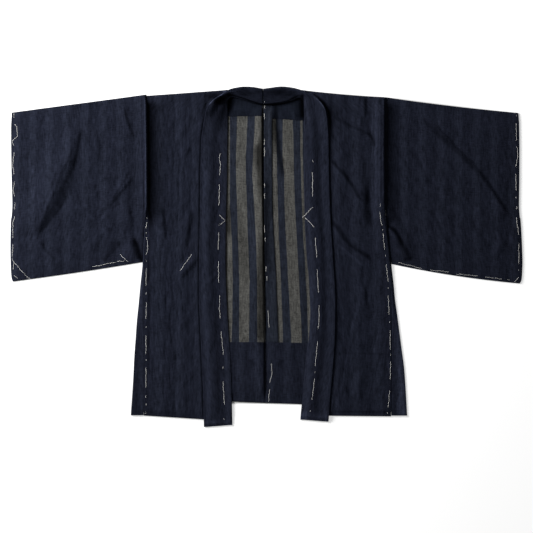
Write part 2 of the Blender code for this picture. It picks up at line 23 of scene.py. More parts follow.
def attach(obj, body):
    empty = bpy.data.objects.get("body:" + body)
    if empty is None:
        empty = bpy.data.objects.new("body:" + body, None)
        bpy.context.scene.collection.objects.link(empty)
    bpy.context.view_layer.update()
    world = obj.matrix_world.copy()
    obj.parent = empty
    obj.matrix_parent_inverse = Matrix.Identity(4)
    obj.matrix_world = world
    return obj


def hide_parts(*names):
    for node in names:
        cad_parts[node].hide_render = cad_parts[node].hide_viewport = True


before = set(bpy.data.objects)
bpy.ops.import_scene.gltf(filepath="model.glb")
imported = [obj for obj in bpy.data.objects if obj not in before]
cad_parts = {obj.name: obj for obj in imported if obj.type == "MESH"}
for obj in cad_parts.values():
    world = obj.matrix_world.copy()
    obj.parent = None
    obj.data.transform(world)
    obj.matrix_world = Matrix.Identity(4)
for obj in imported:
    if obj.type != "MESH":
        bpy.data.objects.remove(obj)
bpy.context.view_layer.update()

log = logging.getLogger("haori")

Grid = np.ndarray
Grids = tuple[Grid, Grid, Grid]
Span = tuple[float, float]
Chart = tuple[Span, ...]
Path = tuple[Span, ...]
Place = tuple[float, float, float]
Colour = tuple[float, float, float]
Line = Callable[[Grid], Grid]
Level = Callable[[Grid, Grid], Grid]

MM = 0.001
TINY = 1e-9  # least length that another is divided by
CLOTH = 1.0  # wall of one layer
COLLAR_WALL = 2.4  # collar strip, cloth doubled over its seam allowances
SEAM_GAP = 0.3  # clearance between two pieces that are sewn together
LAYER_GAP = 0.4  # clearance between two layers that lie on each other

BACK_LEVEL = CLOTH / 2  # middle of the back layer's wall
LINING_LEVEL = BACK_LEVEL + CLOTH + LAYER_GAP  # hem turn-up, yoke, seam binding
FRONT_FACING_LEVEL = LINING_LEVEL + CLOTH + LAYER_GAP  # turned-up hem inside the fronts
FRONT_LEVEL = 4.8  # front panels
FRONT_CROWN = 0.6  # how far they are puffed up above that
FRONT_LOWEST = 1.95  # how low a crease may bring them
FRONT_HEM_LEVEL = 2.4  # fronts where their hem reaches the table
FACING_HEM_LEVEL = 0.9
SLEEVE_EDGE_LEVEL = 2.2  # upper sleeve layer along closed edges
SLEEVE_PUFF = 3.6  # how far it stands above that inside

ARMHOLE_END = 108.0  # y where the sleeve's seam to the body ends
CUFF_END = 104.0  # y where the open cuff ends and the sewn edge begins
GUSSET_POINT = 104.0  # y of the gussets' upper end
DROOP_START = -397.0  # y past which the fronts sink from the back's hem to the table
BINDING_ENDS = (395.0, -222.2)  # y of the seam binding's two ends
YOKE_TOP = 415.0  # y that the yoke reaches at most
YOKE_END = 165.0  # how far the yoke reaches out under the fronts
COLLAR_LIES_FROM = 375.5  # y below which the collar lies its full width on the front
COLLAR_GROOVE = 1.4  # depth of the groove along its free edge
UNDER_COLLAR_SINK = 2.4  # how far a front sinks under the collar's inner line
FRONT_UNDER_COLLAR = 8.0  # front panel's edge, out from the collar's inner line

CENTRE_SEAM: Chart = ((400, -8.3), (-385, -1.3))
BINDING_LEFT: Chart = ((395, -6.5), (147, -6.2), (-60, -3.5), (-222, 1.0))
BINDING_RIGHT: Chart = ((395, 14.0), (147, 15.0), (-30, 23.5), (-222, 31.0))


# ---------------------------------------------------------------- charts and curves
class Track:
    """A two-column chart, read by cubic interpolation with limited slopes."""

    def __init__(self, chart: Chart) -> None:
        """Sort the chart's rows and work out the slope at each station.

        Args:
            chart: rows of station and value.
        """
        rows = sorted(chart)
        self.stations = np.array([row[0] for row in rows], float)
        self.values = np.array([row[1] for row in rows], float)
        slopes = np.diff(self.values) / np.diff(self.stations)
        before, after = slopes[:-1], slopes[1:]
        same_way = before * after > 0
        mean = 2 * before * after / np.where(same_way, before + after, 1.0)
        self.tangents = np.concatenate([slopes[:1], np.where(same_way, mean, 0.0), slopes[-1:]])

    def at(self, station: Grid | float) -> Grid:
        """Value of the chart at each station.

        Args:
            station: one number or an array of them.

        Returns:
            An array of the same shape.
        """
        held = np.clip(station, self.stations[0], self.stations[-1])
        i = np.clip(np.searchsorted(self.stations, held, side="right") - 1, 0, len(self.stations) - 2)
        span = self.stations[i + 1] - self.stations[i]
        t = (held - self.stations[i]) / span
        return ((1 + 2 * t) * (1 - t) ** 2 * self.values[i] + t * (1 - t) ** 2 * span * self.tangents[i]
                + t * t * (3 - 2 * t) * self.values[i + 1]
                + t * t * (t - 1) * span * self.tangents[i + 1])


@lru_cache(maxsize=None)
def tracked(chart: Chart) -> Track:
    """The reader of a chart, made once for each chart."""
    return Track(chart)


def track(chart: Chart, station: Grid | float) -> Grid:
    """Value of a chart at each station."""
    return tracked(chart).at(station)


def lerp(a: Grid | float, b: Grid | float, t: Grid | float) -> Grid | float:
    """Number or array a share t of the way from a to b."""
    return a + (b - a) * t


def bowed(line: Place, share: Grid) -> Grid:
    """Places along a line that is given by its two ends and how far it bows halfway."""
    return lerp(line[0], line[1], share) + line[2] * 4 * share * (1 - share)


def smooth_step(low: float | Grid, high: float | Grid, value: Grid | float) -> Grid:
    """0 below low, 1 above high, smooth between them."""
    t = np.clip((value - low) / (high - low), 0.0, 1.0)
    return t * t * (3 - 2 * t)


def opened(distance: Grid | float, length: float = 30.0) -> Grid:
    """How far a flattened tube has opened at a distance from its closed edge, 0 to 1."""
    return 1 - np.exp(-np.maximum(distance, 0.0) / length)


def paced(start: float, end: float, pace: float) -> Grid:
    """Evenly spaced numbers from start to end, about pace apart."""
    return np.linspace(start, end, max(2, round(abs(end - start) / pace) + 1))


def passed_along(line: Grid) -> Grid:
    """Length of a line up to each of its points."""
    return np.concatenate([[0.0], np.cumsum(np.linalg.norm(np.diff(line, axis=0), axis=1))])


def unit(vectors: Grid) -> Grid:
    """The same directions with a length of 1."""
    return vectors / np.maximum(np.linalg.norm(vectors, axis=-1, keepdims=True), TINY)


def bend(low: float, high: float, segments: int = 6) -> tuple[Grid, Grid]:
    """Offsets outward and heights of a half-round bend, from its upper level down.

    Args:
        low: lower level.
        high: upper level.
        segments: number of steps round the bend.

    Returns:
        The offsets and the heights, without those of the two ends.
    """
    radius = (high - low) / 2
    angles = np.linspace(-math.pi / 2, math.pi / 2, segments + 1)[-2:0:-1]
    return radius * np.cos(angles), low + radius + radius * np.sin(angles)


def hem_reach(low: float, high: float) -> float:
    """How far a hem's outermost line lies past the middle of its bend."""
    return (high - low) / 2 + CLOTH / 2


# ---------------------------------------------------------------- relief of the cloth
class Crest(Enum):
    """How a crease is rounded over its top."""

    SOFT = 1.0
    FIRM = 1.7


@dataclass(frozen=True)
class Crease:
    """A soft ridge, or a trough when its height is negative, along a path."""

    path: Path
    height: float
    left: float  # width of its slope to the left of the path
    right: float  # width of its slope to the right
    crest: Crest = Crest.SOFT
    tails: Span = (0.30, 0.30)  # share of the length over which each end dies away

    def relief(self, x: Grid, y: Grid) -> Grid:
        """Height that the crease adds at each point.

        Args:
            x: points' places across.
            y: points' places along.

        Returns:
            Heights in millimetres.
        """
        best = np.full(x.shape, np.inf)
        across, share = np.zeros(x.shape), np.zeros(x.shape)
        lengths = [math.dist(a, b) for a, b in zip(self.path, self.path[1:])]
        passed = 0.0
        for (x0, y0), (x1, y1), length in zip(self.path, self.path[1:], lengths):
            along = ((x - x0) * (x1 - x0) + (y - y0) * (y1 - y0)) / length ** 2
            held = np.clip(along, 0.0, 1.0)
            away = np.hypot(x - lerp(x0, x1, held), y - lerp(y0, y1, held))
            left = (y - y0) * (x1 - x0) - (x - x0) * (y1 - y0) > 0
            near = away < best
            best = np.where(near, away, best)
            across = np.where(near, np.where(left, away, -away), across)
            share = np.where(near, (passed + held * length) / sum(lengths), share)
            passed += length
        width = np.where(across > 0, self.left, self.right)
        ends = smooth_step(0.0, self.tails[0], share) * smooth_step(0.0, self.tails[1], 1 - share)
        t = np.clip(np.abs(across) / width, 0.0, 1.0)
        return self.height * ends * (0.5 + 0.5 * np.cos(np.pi * t)) ** self.crest.value

    def share(self, x: Grid, y: Grid) -> Grid:
        """1 on the path and 0 past the foot of its slopes."""
        return self.relief(x, y) / self.height


@dataclass(frozen=True)
class Drop:
    """A fold that falls from a crest line to a foot line, both charted against y."""

    crest: Chart  # y, x of the crest
    foot: Chart  # y, x of the foot
    height: Chart  # y, height of the crest
    behind: float  # how far the cloth rises behind the crest

    def relief(self, x: Grid, y: Grid) -> Grid:
        """Height that the fold adds at each point.

        Args:
            x: points' places across.
            y: points' places along.

        Returns:
            Heights in millimetres.
        """
        crest, foot = track(self.crest, y), track(self.foot, y)
        fall = np.clip((x - crest) / np.maximum(foot - crest, 1.0), 0.0, 1.0)
        rise = np.clip((crest - x) / self.behind, 0.0, 1.0)
        shape = np.where(x > crest, (1 - fall) ** 1.25 * (1 + 0.4 * fall), 1 - rise * rise * (3 - 2 * rise))
        inside = (y > self.crest[-1][0]) & (y < self.crest[0][0])
        return np.where(inside, track(self.height, y) * shape, 0.0)


@dataclass(frozen=True)
class Area:
    """A soft-edged ellipse that limits a rumple, or a patch of painted shade, painted highlight or stain."""

    x: float
    y: float
    width: float
    length: float

    def share(self, x: Grid, y: Grid) -> Grid:
        """1 at the middle of the ellipse and 0 past its edge."""
        away = np.hypot((x - self.x) / (self.width / 2), (y - self.y) / (self.length / 2))
        return 1 - smooth_step(0.35, 1.0, away)


@dataclass(frozen=True)
class Rumple:
    """Small uneven waves in the cloth, the same ones each time."""

    seed: int
    across: Span  # shortest and longest wave along x
    along: Span  # shortest and longest wave along y
    height: float
    lean: float = 0.0  # how far the waves lean, as x for each y
    ridged: float = 0.35  # share that is drawn up into narrow crests
    area: Area | None = None
    count: int = 26

    def relief(self, x: Grid, y: Grid) -> Grid:
        """Height that the waves add at each point.

        Args:
            x: points' places across.
            y: points' places along.

        Returns:
            Heights in millimetres.
        """
        chance = np.random.default_rng(self.seed)
        total = np.zeros(x.shape)
        bent = x + self.lean * y
        for _ in range(self.count):
            wave_x = 2 * np.pi / np.exp(chance.uniform(*np.log(self.across))) * chance.choice([-1, 1])
            wave_y = 2 * np.pi / np.exp(chance.uniform(*np.log(self.along)))
            total += np.cos(wave_x * bent + wave_y * y + chance.uniform(0, 2 * np.pi))
        total /= math.sqrt(self.count / 2)
        shaped = (1 - self.ridged) * total + self.ridged * (1.1 - 1.6 * np.abs(total))
        limit = 1.0 if self.area is None else self.area.share(x, y)
        return self.height * shaped * limit


Feature = Crease | Drop | Rumple


def relief(features: tuple[Feature, ...], x: Grid, y: Grid) -> Grid:
    """Height that a table of creases, folds and rumples adds at each point.

    Args:
        features: the table.
        x: points' places across.
        y: points' places along.

    Returns:
        Heights in millimetres.
    """
    total = np.zeros(np.broadcast(x, y).shape)
    for feature in features:
        total = total + feature.relief(x + 0 * y, y + 0 * x)
    return total


@dataclass(frozen=True)
class Tint:
    """A soft patch or strip of painted shade or painted highlight, or a stain, that multiplies the cloth's
    colour.
    """

    area: Area | Crease
    gain: float

    def share(self, x: Grid, y: Grid) -> Grid:
        """What the patch multiplies the colour by at each point."""
        return 1 + (self.gain - 1) * self.area.share(x, y)


def painted_light_streak(gain: float, left: float, right: float, *path: Span, tails: Span = (0.15, 0.25)) -> Tint:
    """Painted shade, or painted highlight where the gain is above 1, along a path, fading over the given
    widths to its left and right.
    """
    return Tint(Crease(path, 1.0, left, right, tails=tails), gain)


@dataclass(frozen=True)
class Stripes:
    """Lines that run down the cloth, charted at stations from its top to its bottom."""

    stations: tuple[float, ...]  # y of each station
    lines: tuple[tuple[float, ...], ...]  # x of every line at each station
    step: float = 1.0  # phase from one line to the next
    start: float = 0.5  # phase of the first line

    def phase(self, x: Grid, y: Grid) -> Grid:
        """Phase of the pattern at each point: it grows by step from one line to the next.

        Args:
            x: points' places across.
            y: points' places along.

        Returns:
            Phases, past the first and last line as well.
        """
        down = -np.array(self.stations)
        lines = [np.interp(-y, down, line) for line in zip(*self.lines)]
        phase = (x - lines[0]) / (lines[1] - lines[0])
        for k in range(1, len(lines) - 1):
            phase = np.where(x > lines[k], k + (x - lines[k]) / (lines[k + 1] - lines[k]), phase)
        return self.start + self.step * phase


UNSTRIPED = Stripes((400, -400), ((0, 46), (0, 46)), start=0.0)  # the lining's faint warp


# ---------------------------------------------------------------- drafting lines of each half
@dataclass(frozen=True)
class Fold:
    """One section of the collar strip: distance, y and height of each of its corners."""

    seam: Place  # sewn edge
    crest: Place  # upper bend
    turn: Place  # lower bend
    edge: Place  # free edge


@dataclass(frozen=True)
class Half:
    """The lines of one half.  Distances are measured out from x = 0, towards that side."""

    name: str
    sign: int
    collar_inner: Chart  # y, distance
    collar_outer: Chart  # y, distance
    collar_end: Span  # y at the inner line, y at the outer line
    collar_lift: Chart  # y, height of the free edge above the lying collar
    collar_neck: tuple[Fold, ...]  # sections round the neck
    neck: Chart  # distance, y of the neck seam on the back panel
    side_seam: Chart  # y, distance
    shoulder: Place  # y of the fold at the neck, at the sleeve, its sag halfway
    front_hem: Span  # y at the collar, y at the side seam
    front_facing: Span  # y of the turn-up's edge at the collar, at the side seam
    back_hem: Span  # y at the centre, y at the side seam
    back_facing: Span  # y of the turn-up's edge at the centre, at the side seam
    gusset_fold: Chart  # y, distance
    gusset_hem: float  # y of the folded gusset's hem
    armhole: Chart  # y, distance
    cuff: Chart  # y, distance
    sleeve_top: Place  # y at the body, y at the cuff, bow halfway
    sleeve_bottom: Place  # y at the body, y at the cuff, bow halfway
    yoke_edge: Span  # y of the yoke's lower edge at the centre and at its end
    front_rise: Chart  # y, height of the front's edge along the sleeve and side seam
    front_rise_width: float  # how far in from the seam that edge is raised or sunk
    sleeve_rise: Chart  # y, height of the sleeve's edge along the armhole
    sleeve_rise_width: float  # how far out that edge stands above the sleeve
    arch: Chart  # distance from the centre seam, height of the back's inside
    front_relief: tuple[Feature, ...]
    sleeve_relief: tuple[Feature, ...]
    back_relief: tuple[Feature, ...]
    gusset_relief: tuple[Feature, ...]
    collar_relief: tuple[Feature, ...]
    front_stripes: Stripes
    sleeve_stripes: Stripes
    back_stripes: Stripes
    turn_up_stripes: Stripes
    collar_stripes: Span  # distance from the sewn edge of the two pale bands
    # painted shade and painted highlight that multiply the cloth's colour, with one stain on the right
    # half's back
    painted_light_and_stains: tuple[Tint, ...]

    def front_level(self, out: Grid, y: Grid) -> Grid:
        """Middle of the front panel's wall.

        Args:
            out: distances out from x = 0.
            y: places along.

        Returns:
            Heights in millimetres.
        """
        seam, collar = track(self.side_seam, y), track(self.collar_outer, y)
        fade = smooth_step(2.0, 16.0, out - collar) * smooth_step(0.0, 12.0, seam - out)
        groove = COLLAR_GROOVE * (1 - smooth_step(0.5, 4.5, out - collar))
        sunk = UNDER_COLLAR_SINK * (1 - smooth_step(8.0, 60.0, out - track(self.collar_inner, y)))
        edge = 1 - smooth_step(0.25, 1.0, (seam - out) / self.front_rise_width)
        level = FRONT_LEVEL + FRONT_CROWN - groove - sunk + edge * track(self.front_rise, y)
        level = level + fade * relief(self.front_relief, self.sign * out, y)
        hem = lerp(*self.front_hem, smooth_step(collar, seam, out))
        return lerp(FRONT_HEM_LEVEL, np.maximum(level, FRONT_LOWEST), smooth_step(hem, DROOP_START, y))

    def sleeve_level(self, out: Grid, y: Grid, top: Grid, bottom: Grid) -> Grid:
        """Middle of the sleeve's upper layer.

        Args:
            out: distances out from x = 0.
            y: places along.
            top: y of the top fold there.
            bottom: y of the bottom seam there.

        Returns:
            Heights in millimetres.
        """
        inner = np.maximum(out - track(self.armhole, y), 0.0)
        outer = track(self.cuff, y) - out
        ends = opened(y - bottom) * opened(top - y + 4.0)
        armhole = smooth_step(ARMHOLE_END - 30, ARMHOLE_END + 10, y)
        seam = armhole * (FRONT_LEVEL - SLEEVE_EDGE_LEVEL) * np.exp(-inner / 20)
        edge = (1 - smooth_step(0.0, self.sleeve_rise_width, inner)) * track(self.sleeve_rise, y)
        shape = relief(self.sleeve_relief, self.sign * out, y)
        body = opened(outer) * ends * opened(inner) * SLEEVE_PUFF
        dressed = opened(outer, 6.0) * ends * opened(inner + 3.0, 12.0) * shape
        return np.maximum(SLEEVE_EDGE_LEVEL + seam + edge + body + dressed, SLEEVE_EDGE_LEVEL - 0.2)

    def inside_lift(self, out: Grid, y: Grid) -> Grid:
        """How far the back's inside, and all that is sewn to it, stands above the table.

        Args:
            out: distances out from x = 0.
            y: places along.

        Returns:
            Heights in millimetres.
        """
        centre = np.abs(out - self.sign * track(CENTRE_SEAM, y))
        waves = relief(self.back_relief, self.sign * out, y) * smooth_step(0.0, 12.0, centre)
        under_fronts = 1 - smooth_step(94.0, 108.0, out)
        neck, hem = 1 - smooth_step(352.0, 392.0, y), smooth_step(-378.0, -330.0, y)
        return under_fronts * neck * hem * np.maximum(track(self.arch, centre) + waves, 0.0)


# Painted shade and painted highlight along the centre back: the seam groove's shadow, the binding's lit
# crest and the shade beside it, and the shadow line under the collar's neck seam.
CENTRE_PAINTED_LIGHT = (
    painted_light_streak(0.07, 5.5, 3, (-10.4, 392), (-10.4, 150), (-9, 95), (-7.4, -9), (-5.4, -61), (-3.6, -113),
        (-3, -206), tails=(0.01, 0.02)),
    painted_light_streak(1.35, 4, 4, (7, 385), (7, 300), (8, 235), tails=(0.1, 0.3)),
    painted_light_streak(0.42, 22, 3, (-2, 215), (-1, 100), (-1, 0), (0, -75), tails=(0.12, 0.25)),
    painted_light_streak(0.62, 5, 8, (24, 352), (26, 310), (29, 266), tails=(0.1, 0.06)),
    painted_light_streak(0.6, 5, 6, (44, 262), (44, 225), (48, 196), tails=(0.2, 0.3)),
    painted_light_streak(0.5, 4, 4, (-4, 175), (-3.5, 80), (-2.5, -20), (-1, -80), tails=(0.12, 0.2)),
    painted_light_streak(0.1, 2.6, 2.6, (-9.6, 442), (-9.6, 394), tails=(0.01, 0.01)),
    painted_light_streak(0.1, 4, 4.5, (-105, 420), (-90, 419), (-74, 415), (-53, 408.5), (-38, 403), (-22, 398),
        (-6.5, 395.5), (14, 396.8), (35, 399.4), (56, 404.6), (71.5, 412.4), (84.5, 419),
        tails=(0.03, 0.05)),
)

RIGHT = Half(
    name="right", sign=-1,
    collar_inner=((405, 100.8), (355, 100.9), (277, 101.8), (199, 102.7), (95, 105.3), (-9, 106.3),
        (-113, 103.2), (-191, 98.8), (-269, 93.6), (-373, 89.9), (-442, 88.5)),
    collar_outer=((376, 157.5), (355, 161.8), (303, 168.8), (251, 170.5), (199, 171.6), (95, 172.9),
        (-9, 174.7), (-113, 174.5), (-191, 171.3), (-269, 167.7), (-373, 163.8), (-442, 162.8)),
    collar_end=(-437.8, -442.5),
    collar_lift=((376, 6.5), (340, 3.6), (290, 1.6), (200, 0.7), (-200, 0.4), (-442, 0.2)),
    collar_neck=(
        Fold((8.6, 394.4, 6), (8.6, 433.8, 11), (8.6, 434.8, 2.4), (8.6, 408.5, 1.3)),
        Fold((30, 398.2, 6.2), (30, 438.2, 12), (31, 439, 2.6), (31, 412.5, 1.3)),
        Fold((50, 404.4, 6.2), (52, 439.8, 12.5), (53, 440.5, 3), (56, 415, 1.3)),
        Fold((70, 410.4, 6), (69, 437.8, 13.4), (72, 439.2, 9), (74, 431, 4.4)),
        Fold((83, 413.8, 5.8), (85, 430, 12), (88, 434.8, 14.5), (92, 434, 13.5)),
        Fold((92.5, 414, 5.6), (97, 419, 9), (108, 424, 15.5), (113, 422, 15.8)),
        Fold((98, 407.8, 5.6), (105, 409, 8), (128, 412.8, 15), (134, 409.5, 16)),
        Fold((100.3, 396, 5.6), (108, 396, 8), (141, 397.5, 13.4), (149, 394.5, 14.6)),
    ),
    neck=((8.3, 396), (27.3, 399.2), (42.9, 404), (60, 409), (74, 413), (83, 418), (87.2, 426)),
    side_seam=((417, 318), (277, 315.1), (147, 314.1), (108, 314.8), (69, 315.2), (-22, 318.4), (-113, 319),
        (-415, 319)),
    shoulder=(434.6, 417.6, -0.4), front_hem=(-427.4, -413.4), front_facing=(-267.5, -267.5),
    back_hem=(-380.3, -366), back_facing=(-222.2, -221.5),
    gusset_fold=((104, 316.2), (84, 317.4), (65, 318.4), (40, 319.8), (-17, 322), (-76, 328), (-123, 332.4),
        (-170, 337.2), (-217, 340.5), (-264, 343.9), (-310, 346), (-373, 349.8), (-413, 352.8)),
    gusset_hem=-412.4,
    armhole=((420, 312.8), (277, 310.6), (147, 309.8), (108, 311.6), (65, 317), (-14, 322.9)),
    cuff=((374, 662.5), (329, 664.4), (225, 663.4), (134, 661.2), (80, 664.2), (17, 664.8), (-30, 663.8),
        (-55, 661.8), (-64, 659)),
    sleeve_top=(420.4, 374.4, 0), sleeve_bottom=(-14, -64, -2), yoke_edge=(365.6, 365),
    front_rise=((417, -1.8), (390, -3), (300, -3.3), (200, -3.3), (120, -2.6), (70, -0.9), (0, 0),
        (-415, 0)),
    front_rise_width=46.0,
    sleeve_rise=((417, 2.6), (390, 3.8), (300, 4.2), (200, 4.2), (140, 3.8), (112, 2.6), (80, 1), (-14, 0)),
    sleeve_rise_width=18.0,
    arch=((0, 0.2), (2.4, 0.3), (4, 4.4), (8, 6), (15, 6.2), (26, 4.8), (45, 2.6), (70, 2), (100, 1.5)),
    front_relief=(
        Crease(((-199, 292), (-207, 274), (-216, 252)), 2, 9, 18, Crest.FIRM),
        Crease(((-196, 128), (-200, 85), (-207, 55), (-215, 15)), 2.4, 13, 24, Crest.FIRM),
        Crease(((-269, 112), (-268, 80), (-264, 44)), 2.2, 8, 16, Crest.FIRM),
        Crease(((-178, 6), (-200, -24), (-232, -60)), 3, 17, 24, Crest.FIRM),
        Crease(((-246, -98), (-247, -146)), 1.3, 8, 12),
        Crease(((-215, -110), (-209, -146)), 1.2, 8, 12),
        Crease(((-302, 10), (-301, -120), (-303, -320)), -1.5, 9, 9, tails=(0.1, 0.2)),
        Crease(((-165, -266), (-230, -268), (-316, -268)), -0.5, 5, 5, tails=(0.02, 0.02)),
        Rumple(11, (14, 34), (70, 260), 0.34, 0.05, 0.45),
        Rumple(12, (30, 70), (60, 200), 0.34, -0.25, 0.2),
        Rumple(13, (9, 18), (24, 70), 0.13, 0.1, 0.5),
        Rumple(14, (12, 24), (50, 160), 0.34, 0.02, 0.6, Area(-232, -70, 150, 420)),
    ),
    sleeve_relief=(
        Drop(crest=((336, -479), (303, -498), (277, -508), (251, -517), (230, -531), (199, -542),
            (173, -550), (147, -565), (121, -573.5), (95, -583), (69, -590), (54, -594)), foot=((336, -477),
            (303, -482), (277, -485), (251, -492), (230, -498), (199, -505), (173, -513), (147, -521),
            (121, -537), (95, -560), (69, -581), (54, -592)), height=((336, 0), (303, 4.2), (277, 7.2),
            (251, 9.2), (230, 10.6), (199, 11.4), (173, 11.4), (147, 11.2), (121, 9.6), (95, 7), (69, 3.2),
            (54, 0)), behind=85),
        Crease(((-590, 48), (-584, 30), (-576, 12)), 1.4, 10, 14, Crest.FIRM),
        Crease(((-528, 150), (-490, 134), (-464, 117), (-420, 90), (-362, 54)), 2.6, 12, 26, Crest.FIRM),
        Crease(((-421, -26), (-386, 12), (-354, 46)), -2.6, 30, 22),
        Crease(((-356, 50), (-348, 22), (-338, -12)), 4, 16, 24, tails=(0.2, 0.05)),
        Crease(((-460, 400), (-458, 376), (-455, 352)), 1.5, 8, 16, Crest.FIRM, (0.05, 0.4)),
        Crease(((-524, 381), (-514, 350), (-500, 318)), 1.2, 8, 16),
        Crease(((-440, 330), (-436, 280), (-436, 236)), 1.3, 9, 14),
        Crease(((-376, 398), (-366, 360), (-357, 330), (-343, 300)), 2.4, 10, 22, Crest.FIRM),
        Crease(((-338, 224), (-362, 192), (-395, 154), (-418, 122)), 2.3, 12, 24, Crest.FIRM),
        Crease(((-360, 140), (-355, 104), (-348, 70)), 1.8, 9, 16),
        Crease(((-430, 70), (-440, 48), (-452, 20)), 1.3, 12, 16),
        Crease(((-547, -10), (-530, -36)), 1.4, 12, 14),
        Crease(((-622, -10), (-617, -50)), 1.2, 10, 12),
        Crease(((-445, 172), (-442, 140)), 1, 9, 12),
        Rumple(21, (26, 80), (50, 150), 0.42, 0.3, 0.25),
        Rumple(22, (14, 32), (30, 110), 0.22, -0.15, 0.5),
        Rumple(23, (8, 16), (16, 50), 0.09, 0, 0.5),
        Rumple(24, (18, 40), (18, 44), 0.3, 0, 0.5, Area(-400, 150, 190, 330)),
    ),
    back_relief=(
        Crease(((-12, 330), (-20, 300), (-27, 274), (-27, 200)), 1, 10, 14, Crest.FIRM, (0.1, 0.5)),
        Crease(((-90, -30), (-82, -42), (-70, -46)), 1, 8, 12),
        Rumple(31, (26, 60), (120, 300), 0.3, 0, 0.3),
        Rumple(32, (10, 22), (30, 80), 0.12, 0.1, 0.4),
    ),
    gusset_relief=(
        Rumple(41, (12, 26), (70, 220), 0.22, 0.12, 0.3),
    ),
    collar_relief=(
        Crease(((-86, 424), (-104, 414), (-122, 398), (-134, 374), (-140, 346)), -4, 14, 15,
            tails=(0.2, 0.5)),
        Crease(((-127, -42), (-140, -58), (-153, -72)), 1.2, 8, 14, Crest.FIRM),
        Crease(((-172, 276), (-150, 268), (-138, 262)), 0.7, 7, 10),
        Rumple(51, (18, 40), (90, 300), 0.2, 0, 0.3),
        Rumple(52, (10, 20), (14, 40), 0.08, 0, 0.4),
    ),
    front_stripes=Stripes((401, -395), ((-279, -230, -188.5), (-279, -226, -176))),
    sleeve_stripes=Stripes((340, -20), ((-607, -565.5, -518.7, -471.9, -425.1, -380.9, -334.1),
        (-612, -567, -519, -472, -425, -379, -333))),
    back_stripes=Stripes((360, 264, 212, 134, 43, -61, -204), ((-120.9, -94.9, -76.7, -49, -29.9, -3.9),
        (-120.9, -94.9, -79.3, -53.3, -35.1, -9.1), (-120.9, -94.9, -79.3, -53.3, -37.2, -11.7),
        (-120.9, -94.9, -76.7, -50.7, -32.5, -6.5), (-115.7, -89.7, -74.1, -48.1, -27.3, -1.3),
        (-113.1, -87.1, -71.5, -43.5, -24.7, 1.3), (-115.7, -89.7, -71.5, -45.5, -24.2, 1.3)), 0.5, 0),
    turn_up_stripes=Stripes((-222, -380), ((-116, -69, -22), (-116, -69, -22))),
    collar_stripes=(5, 55),
    # Painted shade and painted highlight: seam and fold shadows, the armhole's and the collar's shade, lit
    # crests and edges; the small dark patch at (-53.3, -193.4) is a stain.
    painted_light_and_stains=(
        Tint(Area(-290, 250, 60, 330), 0.9),
        painted_light_streak(0.1, 17, 0.6, (-309, 412), (-307.5, 277), (-306.5, 108), (-311, 66), tails=(0.06, 0.12)),
        painted_light_streak(0.34, 42, 20, (-295, 410), (-294, 277), (-293, 108), (-297, 66), tails=(0.06, 0.15)),
        painted_light_streak(2.6, 3, 3.4, (-314.6, 418), (-313.4, 277), (-313, 130), (-318, 60), tails=(0.05, 0.3)),
        painted_light_streak(0.55, 9, 9, (-265, 128), (-267, 95), (-271, 62)),
        painted_light_streak(0.6, 16, 3, (-300, 125), (-303, 95), (-306, 50), tails=(0.3, 0.3)),
        painted_light_streak(0.3, 10, 12, (-347, 44), (-338, 16), (-332, -6), tails=(0.3, 0.02)),
        Tint(Area(-53.3, -193.4, 10, 10), 0.35), Tint(Area(-19.5, -191, 31, 94), 0.6),
        painted_light_streak(0.5, 17, 24, (-330, -110), (-334, -200), (-337, -300), (-338, -412), tails=(0.4, 0.01)),
        painted_light_streak(0.35, 2.6, 3.4, (-159, 380), (-164, 355), (-171.5, 303), (-174, 199), (-175, 95), (-177, -9),
            (-176.8, -113), (-173.5, -191), (-170, -269), (-166, -373), (-165, -425), tails=(0.05, 0.02)),
        painted_light_streak(0.5, 3, 10, (-128, 425), (-152, 405), (-163, 382), (-171, 350), tails=(0.3, 0.3)),
        painted_light_streak(1.9, 30, 14, (-88, -434), (-165, -436), tails=(0.01, 0.01)),
        Tint(Area(-97, 92, 13, 130), 0.26), Tint(Area(-16, 226, 24, 190), 0.5),
        Tint(Area(-93, 408, 34, 50), 0.55),
        painted_light_streak(0.74, 12, 12, (-134, 370), (-137, 200), (-142, 0), (-141, -60), (-134, -150), (-126, -280),
            (-125, -430), tails=(0.1, 0.05)),
        painted_light_streak(1.42, 12, 12, (-160, 300), (-162.5, 43), (-162.5, -61), (-160, -165), (-153.5, -269),
            (-150, -373), (-149, -430), tails=(0.1, 0.03)),
        painted_light_streak(1.25, 8, 8, (-112, -150), (-104, -269), (-99, -373), (-98, -430), tails=(0.3, 0.03)),
        painted_light_streak(0.6, 9, 9, (-195, 130), (-200, 85), (-207, 50), (-214, 16)),
        painted_light_streak(1.5, 14, 14, (-494, 296), (-537, 199), (-568, 134), (-594, 76), tails=(0.2, 0.1)),
        painted_light_streak(1.28, 7, 9, (-472, 113), (-412, 80), (-368, 58), (-345, 50), tails=(0.2, 0.1)),
        Tint(Area(-362, 12, 36, 60), 1.3),
        painted_light_streak(0.6, 6, 6, (-479.7, 337), (-487.5, 303), (-492.7, 272), (-499, 238), (-506, 204)),
        painted_light_streak(0.7, 6, 6, (-524, 147), (-542, 116), (-563, 90), (-589, 59)),
        painted_light_streak(0.74, 10, 1.5, (-513, 141), (-485, 134), (-459, 111), (-433, 90), (-407, 69), (-386, 61),
            (-365, 48)),
        painted_light_streak(0.68, 2, 17, (-374, 40), (-396, 14), (-425, -16), tails=(0.1, 0.1)),
        painted_light_streak(0.17, 9, 9, (-353, 56), (-337, 33), (-329.5, 9), (-325.5, -13.5), tails=(0.3, 0.01)),
        painted_light_streak(0.66, 6, 6, (-352, 227), (-370, 194), (-386, 170), (-407, 134)),
        painted_light_streak(0.74, 8, 8, (-357.5, 215), (-355, 108), (-357.5, 56)),
